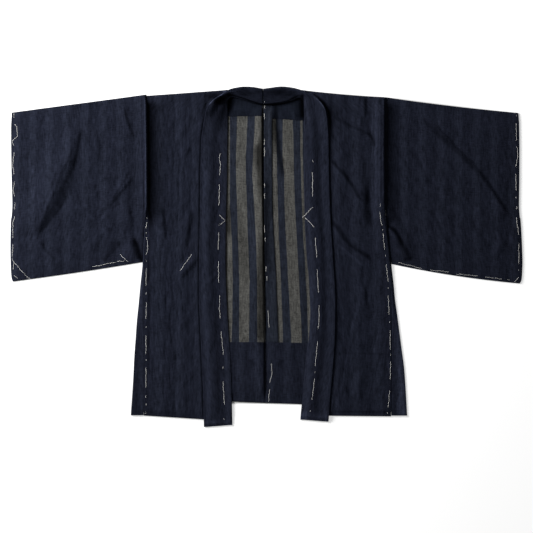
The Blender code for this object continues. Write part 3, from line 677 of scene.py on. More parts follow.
        painted_light_streak(0.7, 5, 5, (-459, 400), (-459, 340), tails=(0.05, 0.4)),
        painted_light_streak(0.66, 6, 6, (-373, 396), (-360, 350), (-347, 316), (-337, 288)),
        painted_light_streak(0.8, 5, 5, (-443, 336), (-438, 277), (-433, 236)),
        painted_light_streak(0.78, 5, 5, (-519, 378), (-506, 343)),
        painted_light_streak(0.7, 7, 7, (-594, 45), (-573, 17), (-545, -14)),
        painted_light_streak(0.8, 7, 7, (-425, 61), (-438, 30), (-451, 4)),
        painted_light_streak(0.42, 2.4, 2.4, (-323.5, 417), (-321.5, 277), (-319.5, 190), (-319, 130), (-320, 100),
            tails=(0.02, 0.1)),
        Tint(Area(-21, 262, 46, 110), 0.5), Tint(Area(-15, -95, 34, 380), 0.42),
        Tint(Area(-63, 366, 60, 40), 0.75), Tint(Area(-62, 10, 50, 190), 0.8),
        Tint(Area(0, 414, 230, 60), 0.62), Tint(Area(-117, 404, 60, 34), 0.16),
        Tint(Area(-116, 372, 58, 110), 0.5), Tint(Area(-95, 396, 24, 74), 0.3),
        Tint(Area(-142, 418, 56, 22), 0.44), Tint(Area(-58, 426, 46, 40), 0.66),
        Tint(Area(-106, 380, 34, 60), 0.7),
        painted_light_streak(5.4, 2.4, 4.6, (-151, 391), (-146, 398), (-134, 408), (-121, 417), (-110, 423.5), (-95, 429),
            (-76, 430), tails=(0.15, 0.3)),
        Tint(Area(-25, 417, 38, 21), 1.35),
    ),
)

LEFT = Half(
    name="left", sign=1,
    collar_inner=((405, 98.3), (355, 98), (303, 97.5), (199, 97.5), (95, 99.6), (-9, 105.3), (-60, 110.5),
        (-113, 114.2), (-191, 111.8), (-269, 102.2), (-373, 92.8), (-398, 90), (-429, 87.4)),
    collar_outer=((376, 154.5), (355, 158), (303, 161.2), (199, 163), (95, 167), (-9, 173.2), (-60, 176.8),
        (-113, 179), (-191, 178.2), (-269, 174.2), (-373, 165.1), (-429, 161.2)),
    collar_end=(-423.8, -428.7),
    collar_lift=((376, 5.8), (330, 4), (280, 1.8), (200, 1.3), (0, 1.4), (-110, 2), (-200, 2.4),
        (-300, 1.4), (-429, 0.6)),
    collar_neck=(
        Fold((-8, 394.4, 6), (-8, 433.8, 11), (-8, 434.8, 2.4), (-8, 408.5, 1.3)),
        Fold((15, 395.2, 6.2), (15, 437.5, 12), (15, 438.5, 2.6), (15, 411, 1.3)),
        Fold((40, 398.2, 6.2), (38, 440, 12.5), (38.5, 440.8, 3), (42, 414.5, 1.3)),
        Fold((61, 403.8, 6), (59, 437.5, 13), (62, 438.8, 9), (65, 430.5, 4.4)),
        Fold((75, 409.8, 5.4), (76, 433, 12.5), (79, 434.8, 11.5), (84, 432.8, 9)),
        Fold((86, 412.6, 5.6), (90.5, 424, 12.5), (99, 426, 12.8), (105.5, 423.5, 11.2)),
        Fold((93.5, 406.8, 5.8), (100, 411, 11.2), (123, 415, 13.5), (130.5, 408.5, 13.5)),
        Fold((97.3, 396, 5.6), (105, 396, 9.2), (137, 399, 13.8), (145.5, 394, 13.8)),
    ),
    neck=((-8.3, 396), (18, 396.6), (40, 399.7), (56, 403.8), (69, 408.5), (77, 415), (81.2, 425)),
    side_seam=((414, 306.6), (277, 305.2), (147, 306.8), (108, 308.6), (82, 309.6), (-22, 319.8),
        (-113, 323.7), (-269, 324.5), (-416, 323.7)),
    shoulder=(434.4, 414.2, -2.4), front_hem=(-413.2, -415.2), front_facing=(-253, -253.5),
    back_hem=(-380.3, -393), back_facing=(-222.2, -229),
    gusset_fold=((104, 311.4), (84, 313.8), (69, 315.8), (40, 318.6), (-24, 325), (-76, 331), (-108, 333.8),
        (-139, 338), (-170, 342.2), (-232, 350.2), (-295, 358.3), (-373, 363.5), (-413, 365.6)),
    gusset_hem=-413.2,
    armhole=((414, 306.9), (277, 305.5), (147, 307.1), (108, 310.9), (69, 316.2), (-19, 325.6)),
    cuff=((373, 654.5), (345, 657), (277, 657.8), (199, 657.5), (134, 656.7), (80, 660.7), (17, 663.8),
        (-14, 664.6), (-45, 663.5), (-60, 662), (-69, 658)),
    sleeve_top=(413.7, 373.4, -2.5), sleeve_bottom=(-19.2, -69, -5.5), yoke_edge=(359, 350),
    front_rise=((414, 4), (380, 6.2), (300, 6.6), (200, 6.4), (140, 5.2), (100, 3), (50, 1.2), (0, 0.4),
        (-415, 0.2)),
    front_rise_width=36.0,
    sleeve_rise=((414, 0), (380, -1.8), (200, -2), (130, -1.4), (100, 0), (-14, 0)),
    sleeve_rise_width=34.0,
    arch=((0, 0.4), (10, 0.9), (22, 1.8), (30, 2), (70, 2), (100, 1.6)),
    front_relief=(
        Crease(((172, 366), (206, 348), (243, 331), (266, 322), (280, 282)), 2.4, 12, 26, Crest.FIRM),
        Crease(((182, 310), (200, 282), (216, 252)), 1.4, 10, 18),
        Crease(((180, 242), (206, 204), (224, 180), (244, 164), (262, 140)), 3, 12, 28, Crest.FIRM),
        Crease(((255, 206), (258, 150), (263, 104), (266, 60)), 2.4, 15, 26, Crest.FIRM),
        Crease(((253, 412), (255, 384), (257, 356)), 1.8, 9, 16, Crest.FIRM, (0.05, 0.4)),
        Crease(((172, 96), (194, 56), (212, 34), (236, 20), (260, 0), (272, -26)), 3.4, 13, 30, Crest.FIRM),
        Crease(((250, -70), (254, -110), (262, -142)), 1.8, 10, 18),
        Crease(((196, -330), (206, -352), (220, -378)), 1.2, 10, 18),
        Crease(((244, -290), (240, -330), (238, -380)), 1.2, 12, 18),
        Crease(((186, -253), (250, -253.5), (318, -253.5)), -0.5, 5, 5, tails=(0.02, 0.02)),
        Crease(((176, -402.5), (250, -403), (318, -403)), -0.4, 4, 4, tails=(0.02, 0.02)),
        Crease(((282, 410), (281, 260), (281, 120)), -1.3, 4.5, 4.5, tails=(0.05, 0.1)),
        Crease(((292.5, 410), (290.5, 260), (291, 120)), -0.9, 3.5, 3.5, tails=(0.05, 0.1)),
        Crease(((300, 410), (298.5, 260), (299, 130)), -0.8, 3, 3, tails=(0.05, 0.1)),
        Rumple(61, (18, 44), (80, 260), 0.3, 0, 0.4),
        Rumple(62, (36, 80), (50, 160), 0.4, 0.35, 0.25),
        Rumple(63, (9, 18), (24, 70), 0.12, 0.1, 0.5),
    ),
    sleeve_relief=(
        Crease(((409, 362), (440, 334), (464, 311), (482, 288), (516, 256), (530, 243), (568, 194),
            (607, 134), (634, 100)), 3.6, 11, 46, Crest.FIRM, (0.12, 0.1)),
        Crease(((446, 174), (464, 160), (490, 148)), 1.7, 10, 22, Crest.FIRM),
        Crease(((617, 48), (606, 22), (590, -14)), 1.5, 12, 18),
        Crease(((318, 82), (338, 62), (352, 32), (364, -12)), 5.2, 30, 24, tails=(0.1, 0.1)),
        Crease(((470, 290), (478, 250), (484, 210)), 0.9, 14, 20),
        Rumple(71, (26, 70), (60, 200), 0.36, 0.2, 0.25),
        Rumple(72, (14, 30), (40, 140), 0.2, 0, 0.45),
        Rumple(73, (8, 16), (16, 50), 0.09, 0, 0.5),
    ),
    back_relief=(
        Crease(((24, 396), (28, 350), (33, 290), (38, 240), (48, 204), (52, 186)), -2, 14, 13, Crest.SOFT,
            (0.05, 0.25)),
        Crease(((68, 402), (71, 380), (76, 350)), 2.6, 7, 14, Crest.FIRM, (0.1, 0.4)),
        Rumple(81, (26, 60), (120, 300), 0.28, 0, 0.3),
        Rumple(82, (10, 22), (30, 80), 0.12, 0.1, 0.4),
    ),
    gusset_relief=(
        Rumple(91, (12, 26), (70, 220), 0.2, -0.12, 0.3),
    ),
    collar_relief=(
        Rumple(101, (18, 40), (90, 300), 0.2, 0, 0.3),
        Rumple(102, (10, 20), (14, 40), 0.08, 0, 0.4),
    ),
    front_stripes=Stripes((401, -395), ((181, 230, 283), (176, 228, 290))),
    sleeve_stripes=Stripes((340, -20), ((354.9, 404.3, 451.1, 497.9, 544.7, 591.5, 638.3),
        (360, 406, 452, 498, 545, 592, 640))),
    back_stripes=Stripes((360, 264, 212, 134, 43, -61, -204), ((-6.5, 25, 42.4, 68, 88.2, 93.5),
        (1.3, 27, 41, 71.5, 88.6, 94), (1.3, 27.5, 45.5, 71.8, 90.2, 95.6), (3.9, 29.9, 46, 74.1, 93, 99),
        (6.5, 32.5, 50.7, 79.3, 96.4, 103), (11.7, 37.7, 55.9, 84.5, 103.4, 110),
        (17, 42.9, 63.7, 92.3, 109, 117)), 0.5, 0),
    turn_up_stripes=Stripes((-222, -380), ((8, 54, 100), (4, 54, 104))),
    collar_stripes=(9, 57),
    # Painted shade and painted highlight: seam and fold shadows, the armhole's and the collar's shade, and
    # lit crests, edges and gusset.
    painted_light_and_stains=(
        Tint(Area(19, 325, 20, 130), 0.45),
        painted_light_streak(0.62, 14, 0.6, (307, 406), (306.5, 277), (308, 147), (313, 96), (317, 70),
            tails=(0.06, 0.1)),
        painted_light_streak(0.4, 36, 14, (322, 406), (321, 277), (322, 147), (325, 96), (329, 62), tails=(0.06, 0.12)),
        painted_light_streak(1.7, 4, 4, (303.6, 410), (303, 277), (304, 147), tails=(0.02, 0.2)),
        painted_light_streak(2.2, 26, 20, (330, 0), (336, -130), (344, -220), (350, -330), (350, -412),
            tails=(0.15, 0.01)),
        painted_light_streak(0.46, 3, 3, (321.5, -60), (323.8, -170), (324.6, -269), (324, -408), tails=(0.1, 0.05)),
        painted_light_streak(0.17, 9, 2.4, (92, 436.5), (110, 429), (134, 412.5), (150, 396.5), (159, 377), (163.5, 355),
            (168, 300), tails=(0.1, 0.4)),
        Tint(Area(176, 372, 44, 110), 0.64),
        painted_light_streak(1.8, 26, 14, (85, -420), (162, -424), tails=(0.01, 0.01)),
        painted_light_streak(1.35, 7, 7, (184, 36), (200, 18), (226, -4), (262, -30), tails=(0.2, 0.2)),
        painted_light_streak(0.35, 11, 9, (22, 402), (26, 355), (30, 300), (34, 262), (41, 220), (46, 190),
            tails=(0.05, 0.3)),
        painted_light_streak(0.12, 6, 14, (94, 424), (94.5, 386), (95, 352), tails=(0.1, 0.2)),
        painted_light_streak(0.45, 12, 24, (90, 424), (90, 386), (91, 346), tails=(0.1, 0.3)),
        Tint(Area(350, 10, 44, 84), 0.84), Tint(Area(58, 322, 30, 120), 0.86),
        painted_light_streak(0.74, 14, 14, (398, 360), (425, 338), (452, 312), (474, 292), tails=(0.2, 0.3)),
        Tint(Area(46, 424, 60, 22), 0.72),
        painted_light_streak(3.2, 2.5, 3.5, (84, 435), (108, 428), (123.5, 417.6), (139, 402), (148, 389), (155, 372),
            tails=(0.1, 0.3)),
        Tint(Area(27, 428, 52, 18), 0.5),
        painted_light_streak(0.6, 14, 14, (124, 395), (128.7, 277), (134, 147), (145.6, 43), (146.9, -61), (150.8, -165),
            (140.4, -269), (127.4, -373), (124, -425), tails=(0.1, 0.03)),
        painted_light_streak(1.32, 11, 11, (106, 200), (111.8, 43), (115.7, -61), (115.7, -165), (110.5, -269),
            (102.7, -373), (101, -425), tails=(0.3, 0.03)),
        painted_light_streak(0.62, 7, 7, (170, 363), (191, 355), (217, 339.6), (243, 329), (264, 318.8), (274, 308),
            (282, 282), tails=(0.05, 0.1)),
        painted_light_streak(0.6, 6, 6, (258, 324), (272, 312), (280, 296), (282, 278)),
        painted_light_streak(0.58, 7, 7, (254.8, 412), (256, 356), tails=(0.05, 0.4)),
        painted_light_streak(0.72, 6, 6, (170, 316), (191, 290), (207, 264), (215, 250), tails=(0.05, 0.3)),
        painted_light_streak(0.42, 7, 7, (167, 252), (186, 230), (204, 209.6), (222, 183.6), (233, 168), (249, 139),
            tails=(0.05, 0.1)),
        painted_light_streak(0.62, 8, 8, (252, 280), (253.5, 212), (257.4, 160), (260, 108), (264, 66), tails=(0.3, 0.1)),
        painted_light_streak(0.55, 15, 13, (254, 196), (257.4, 160), (260, 108), (263, 70), tails=(0.4, 0.25)),
        painted_light_streak(0.42, 9, 8, (167, 96), (181, 77), (196, 51), (217, 30), (243, 12), (264, -1), (278, -20),
            tails=(0.05, 0.15)),
        painted_light_streak(0.3, 9, 8, (304, 82), (318, 78), (337, 62), (350, 38), (354, 8), tails=(0.2, 0.4)),
        painted_light_streak(0.66, 12, 9, (408, 356), (430, 336), (452, 312), (492, 274), (518, 248), (560, 208),
            (590, 166), (612, 130), (638, 98), tails=(0.15, 0.1)),
        painted_light_streak(0.45, 9, 12, (316, 84), (334, 70), (352, 36), (366, 12), (376, -12), tails=(0.15, 0.02)),
        painted_light_streak(0.72, 12, 16, (336, 60), (354, 22), (366, -14), tails=(0.2, 0.02)),
        painted_light_streak(0.8, 6, 6, (636, 88), (616, 40), (592, 2), (578, -18), tails=(0.3, 0.1)),
        painted_light_streak(0.82, 4, 4, (438, 178), (466, 160), (486, 156), tails=(0.2, 0.3)),
        painted_light_streak(0.72, 2.4, 2.4, (176, -402.8), (318, -403.2), tails=(0.02, 0.02)),
        painted_light_streak(1.25, 3, 3, (176, -408.5), (318, -409), tails=(0.02, 0.02)),
        painted_light_streak(0.8, 3, 3, (186, -251.5), (250, -253.5), (318, -252), tails=(0.02, 0.02)),
        Tint(Area(0, 414, 230, 60), 0.62),
    ),
)


# ---------------------------------------------------------------- finishes
class Graph:
    """Short ways to place and join nodes in one node tree."""

    def __init__(self, tree: NodeTree) -> None:
        """Keep the tree that the nodes go into."""
        self.tree = tree

    def fill(self, node: Node, inputs: dict) -> Node:
        """Feed a node's inputs.

        Args:
            node: the node.
            inputs: socket name or number, and the value or the socket that feeds it.

        Returns:
            The same node.
        """
        for key, value in inputs.items():
            if isinstance(value, Socket):
                self.tree.links.new(value, node.inputs[key])
            else:
                node.inputs[key].default_value = value
        return node

    def add(self, kind: str, inputs: dict | None = None, **settings: object) -> Node:
        """Place a node, set it and feed its inputs.

        Args:
            kind: the node's type name, without the word ShaderNode.
            inputs: as for fill.
            settings: the node's own properties.

        Returns:
            The new node.
        """
        node = self.tree.nodes.new("ShaderNode" + kind)
        for name, value in settings.items():
            setattr(node, name, value)
        return self.fill(node, inputs or {})

    def maths(self, operation: str, *values: Socket | float, clamp: bool = False) -> Socket:
        """Output of a Math node on the given numbers or sockets."""
        return self.add("Math", dict(enumerate(values)), operation=operation, use_clamp=clamp).outputs[0]

    def plus(self, a: Socket, b: Socket | float) -> Socket:
        """Sum of two values."""
        return self.maths("ADD", a, b)

    def minus(self, a: Socket | float, b: Socket | float) -> Socket:
        """One value less another."""
        return self.maths("SUBTRACT", a, b)

    def times(self, a: Socket, b: Socket | float) -> Socket:
        """Product of two values."""
        return self.maths("MULTIPLY", a, b)

    def swing(self, value: Socket, gain: float) -> Socket:
        """How far a value between 0 and 1 lies from its middle, times a gain."""
        return self.times(self.minus(value, 0.5), gain)

    def scaled(self, vector: Socket, factor: Socket | float) -> Socket:
        """A vector or colour times one number."""
        return self.add("VectorMath", {0: vector, "Scale": factor}, operation="SCALE").outputs[0]

    def ramp(self, value: Socket, start: Socket | float, end: Socket | float, past: float = 1.0) -> Socket:
        """A smooth step between 0 and 1, with the given one of them past its end."""
        inputs = {0: value, 1: start, 2: end, 3: 1.0 - past, 4: past}
        return self.add("MapRange", inputs, interpolation_type="SMOOTHSTEP").outputs[0]

    def noise(self, place: Socket, scale: float | Colour, detail: float = 2.0) -> Socket:
        """Factor of a noise texture.

        Args:
            place: where to read it.
            scale: one scale, or one for each axis.
            detail: number of finer layers of noise.

        Returns:
            The factor, between 0 and 1.
        """
        if isinstance(scale, tuple):
            place = self.add("VectorMath", {0: place, 1: scale}, operation="MULTIPLY").outputs[0]
            scale = 1.0
        return self.add("TexNoise", {"Vector": place, "Scale": scale, "Detail": detail}).outputs[0]

    def mixed(self, share: Socket, first: Colour, second: Colour) -> Socket:
        """A colour between two others."""
        inputs = {0: share, 6: (*first, 1.0), 7: (*second, 1.0)}
        return self.add("Mix", inputs, data_type="RGBA").outputs[2]


def new_group(name: str, inputs: tuple[str, ...], outputs: tuple[str, ...]) -> tuple[Graph, dict, Node]:
    """An empty shader node group.

    Args:
        name: the group's name.
        inputs: names of its numbers, and Cut for a place on the flat cloth.
        outputs: names of the numbers that it makes.

    Returns:
        The group's graph, its input sockets and the node that takes its outputs.
    """
    tree = bpy.data.node_groups.new(name, "ShaderNodeTree")
    for in_out, sockets in (("INPUT", inputs), ("OUTPUT", outputs)):
        for socket in sockets:
            kind = "NodeSocketVector" if socket == "Cut" else "NodeSocketFloat"
            tree.interface.new_socket(name=socket, in_out=in_out, socket_type=kind)
    return Graph(tree), tree.nodes.new("NodeGroupInput").outputs, tree.nodes.new("NodeGroupOutput")


@lru_cache(maxsize=None)
def weave_group() -> NodeTree:
    """Plain weave: the height of its crossings, and the uneven tone of warp and weft.

    Returns:
        The node group, made once.
    """
    graph, given, made = new_group("plain_weave", ("Cut", "Threads"), ("Height", "Tone"))
    cut = given["Cut"]
    wander = graph.noise(cut, 160.0, 1.0)
    across, along, _ = graph.add("SeparateXYZ", {0: graph.scaled(cut, given["Threads"])}).outputs
    warp = graph.maths("SINE", graph.times(graph.plus(across, wander), math.pi))
    weft = graph.maths("SINE", graph.times(graph.minus(along, wander), math.pi))
    crossing = graph.maths("POWER", graph.maths("ABSOLUTE", graph.times(warp, weft)), 0.6)
    slub = graph.noise(cut, (290.0, 46.0, 1.0))
    pick = graph.noise(cut, (80.0, 300.0, 1.0))
    tone = graph.plus(graph.times(slub, 0.60), graph.times(pick, 0.40))
    graph.fill(made, {"Height": graph.plus(crossing, graph.times(tone, 1.6)), "Tone": tone})
    return graph.tree


@lru_cache(maxsize=None)
def bands_group() -> NodeTree:
    """Mask of a striped warp: 1 inside the bands of a phase, 0 between them.

    Returns:
        The node group, made once.
    """
    graph, given, made = new_group("warp_bands", ("Phase", "Centre", "Width", "Soft"), ("Mask",))
    shifted = graph.plus(graph.minus(given["Phase"], given["Centre"]), 0.5)
    away = graph.maths("ABSOLUTE", graph.minus(graph.maths("FRACT", shifted), 0.5))
    half, soft = graph.times(given["Width"], 0.5), given["Soft"]
    graph.fill(made, {"Mask": graph.ramp(away, graph.minus(half, soft), graph.plus(half, soft), 0.0)})
    return graph.tree


@lru_cache(maxsize=None)
def mottle_group() -> NodeTree:
    """Uneven dye: broad clouds, and small dark specks where the yarn is thick.

    Returns:
        The node group, made once.
    """
    graph, given, made = new_group("uneven_dye", ("Cut",), ("Cloud", "Speck"))
    cut = given["Cut"]
    broad, small = graph.noise(cut, 26.0, 3.0), graph.noise(cut, (150.0, 60.0, 1.0))
    cloud = graph.plus(graph.times(broad, 0.6), graph.times(small, 0.4))
    grain = graph.noise(cut, (420.0, 260.0, 1.0), 3.0)
    graph.fill(made, {"Cloud": cloud, "Speck": graph.ramp(grain, 0.50, 0.72)})
    return graph.tree


def new_material(name: str, shown: Colour | None = None) -> tuple[Material, Graph, Node]:
    """A material with its shader node, to be filled in.

    Args:
        name: the material's name.
        shown: its plain colour in a viewport, if it has one.

    Returns:
        The material, the graph of its nodes and its shader node.
    """
    material = bpy.data.materials.new(name)
    material.use_nodes = True
    if shown is not None:
        material.diffuse_color = (*shown, 1.0)
    return material, Graph(material.node_tree), material.node_tree.nodes["Principled BSDF"]


@dataclass(frozen=True)
class ClothFinish:
    """A striped plain-woven cloth, dyed dark."""

    name: str
    ground: Colour  # colour between the bands
    band: Colour  # colour of the bands
    pattern: str = "phase"  # attribute that holds the stripes' phase
    centre: float = 0.5  # phase at the middle of a band
    width: float = 0.40  # share of the repeat that a band takes
    soft: float = 0.10  # how soft the bands' edges are
    stray: float = 0.05  # how far those edges stray
    slub: float = 0.62  # how far uneven yarn changes the tone
    cloud: float = 0.22  # how far uneven dye changes it
    speck: float = 0.0  # how dark the specks in the bands are
    threads: float = 1250.0  # threads for each metre
    thread_height: float = 0.0002  # of the weave's crossings, in metres
    roughness: float = 0.88
    sheen: float = 0.004
    sheen_roughness: float = 0.55
    sheen_tint: Colour = (0.62, 0.70, 0.90)
    relief: float = 0.5  # strength of the weave's bump

    def material(self) -> Material:
        """The material, made once for each finish."""
        made = bpy.data.materials.get(self.name)
        return made if made is not None else self._new_material()

    def _new_material(self) -> Material:
        """Build the material's nodes.

        Returns:
            The new material.
        """
        material, graph, shader = new_material(self.name, self.ground)
        cut = graph.add("UVMap", uv_map="cut").outputs[0]
        # the second attribute holds the painted shade, painted highlight and stains as a colour factor
        phase, tint = (graph.add("Attribute", attribute_type="GEOMETRY", attribute_name=name).outputs["Fac"]
                       for name in (self.pattern, "tint"))
        weave = graph.add("Group", {"Cut": cut, "Threads": self.threads}, node_tree=weave_group()).outputs
        dye = graph.add("Group", {"Cut": cut}, node_tree=mottle_group()).outputs
        edge = graph.plus(phase, graph.swing(graph.noise(cut, (60.0, 45.0, 1.0), 3.0), self.stray))
        bands = {"Phase": edge, "Centre": self.centre, "Width": self.width, "Soft": self.soft}
        mask = graph.add("Group", bands, node_tree=bands_group()).outputs["Mask"]
        slub = graph.swing(weave["Tone"], 4 * self.slub)
        cloud = graph.swing(dye["Cloud"], 4 * self.cloud)
        tone = graph.plus(graph.plus(slub, cloud), 1.0)
        if self.speck:
            dark = graph.times(graph.times(dye["Speck"], mask), self.speck)
            tone = graph.times(tone, graph.minus(1.0, dark))
        # the painted shade, painted highlight and stains multiply the tone here
        tone = graph.maths("MAXIMUM", graph.times(tone, tint), 0.05)
        bump = {"Strength": self.relief, "Distance": self.thread_height, "Height": weave["Height"]}
        graph.fill(shader, {
            "Base Color": graph.scaled(graph.mixed(mask, self.ground, self.band), tone),
            "Roughness": graph.maths("MULTIPLY_ADD", dye["Cloud"], 0.12, self.roughness - 0.06),
            "Specular IOR Level": 0.0,
            "Sheen Weight": self.sheen,
            "Sheen Roughness": self.sheen_roughness,
            "Sheen Tint": (*self.sheen_tint, 1.0),
            "Normal": graph.add("Bump", bump).outputs[0]})
        return material


@dataclass(frozen=True)
class YarnFinish:
    """Loose two-ply cotton thread."""

    name: str
    pale: Colour
    shade: Colour
    fibre_height: float = 0.0001  # in metres

    def material(self) -> Material:
        """Build the material's nodes.

        Returns:
            The new material.
        """
        material, graph, shader = new_material(self.name, self.pale)
        place = graph.add("TexCoord").outputs["Object"]
        fuzz, stain = graph.noise(place, 900.0, 3.0), graph.noise(place, 14.0)
        share = graph.maths("MULTIPLY_ADD", fuzz, 0.6, graph.times(stain, 0.5), clamp=True)
        bump = {"Strength": 0.5, "Distance": self.fibre_height, "Height": fuzz}
        graph.fill(shader, {
            "Base Color": graph.mixed(share, self.pale, self.shade),
            "Roughness": graph.maths("MULTIPLY_ADD", fuzz, 0.15, 0.72),
            "Specular IOR Level": 0.2,
            "Normal": graph.add("Bump", bump).outputs[0]})
        return material


OUTER = ClothFinish("striped_indigo_hemp", (0.0067, 0.0078, 0.0132), (0.0090, 0.0105, 0.0174))
INNER = ClothFinish("striped_hemp_wrong_side", (0.0105, 0.0126, 0.0190), (0.0500, 0.0497, 0.0472), "inside",
                    centre=0.25, width=0.5, soft=0.012, slub=0.60, cloud=0.30, speck=0.62,
                    roughness=0.9, relief=0.6)
LINING = ClothFinish("plain_navy_lining", (0.0052, 0.0064, 0.0106), (0.0058, 0.0072, 0.0116), soft=0.2,
                     slub=0.45, cloud=0.20, threads=2200.0, roughness=0.82, relief=0.3)
TAPE = ClothFinish("faded_navy_binding", (0.0090, 0.0108, 0.0160), (0.0104, 0.0124, 0.0180), soft=0.2,
                   slub=0.60, cloud=0.30, threads=2000.0, roughness=0.82, relief=0.4)
BASTING = YarnFinish("basting_cotton", (0.66, 0.655, 0.64), (0.45, 0.44, 0.425))


# ---------------------------------------------------------------- shells of cloth
def painted_light_and_stain_gain(painted_light_and_stains: tuple[Tint, ...], x: Grid, y: Grid) -> Grid:
    """What a table of painted shade, painted highlight and stains, and the painted shade and highlight along
    the centre back, multiply the colour by at each point.

    Args:
        painted_light_and_stains: the table.
        x: points' places across.
        y: points' places along.

    Returns:
        The product at each point.
    """
    total = np.ones(np.broadcast(x, y).shape)
    for tint in painted_light_and_stains + CENTRE_PAINTED_LIGHT:
        total = total * tint.share(x, y)
    return total


@dataclass
class Surface:
    """A grid of points on a sheet's middle, with the patterns' phases and the factor of painted shade,
    painted highlight and stains at each.
    """

    points: Grid  # rows, columns, x y z in millimetres
    phase: Grid  # phase of the stripes on the outer face
    inside: Grid  # and of those on the inner face
    # factor of painted shade, painted highlight and stains
    tint: Grid

    VALUES: ClassVar[tuple[str, ...]] = ("phase", "inside", "tint")

    @staticmethod
    def woven(x: Grid, y: Grid, z: Grid, painted_light_and_stains: tuple[Tint, ...], outer: Stripes,
              inner: Stripes | None = None) -> "Surface":
        """A surface with its stripes and its painted shade, painted highlight and stains.

        Args:
            x: points' places across.
            y: points' places along.
            z: heights.
            painted_light_and_stains: table of the painted shade, painted highlight and stains.
            outer: pattern of the outer face.
            inner: pattern of the inner face, where it differs.

        Returns:
            The surface.
        """
        phase = outer.phase(x, y)
        inside = phase if inner is None else inner.phase(x, y)
        return Surface(np.stack([x, y, z], axis=2), phase, inside, painted_light_and_stain_gain(painted_light_and_stains, x, y))

    @staticmethod
    def joined(parts: list["Surface"]) -> "Surface":
        """One surface of several blocks of rows, one after the other."""
        return Surface(*(np.concatenate([getattr(part, name) for part in parts])
                         for name in ("points", *Surface.VALUES)))

    def cut(self) -> Grid:
        """Where each point was on the flat cloth, across and along it, in metres.

        Returns:
            An array of the same rows and columns.
        """
        across = np.linalg.norm(np.diff(self.points, axis=1), axis=2)
        along = np.linalg.norm(np.diff(self.points, axis=0), axis=2)
        flat = np.zeros((*self.points.shape[:2], 2))
        flat[:, 1:, 0] = np.cumsum(across, axis=1)
        flat[1:, :, 1] = np.cumsum(along, axis=0)
        return flat * MM


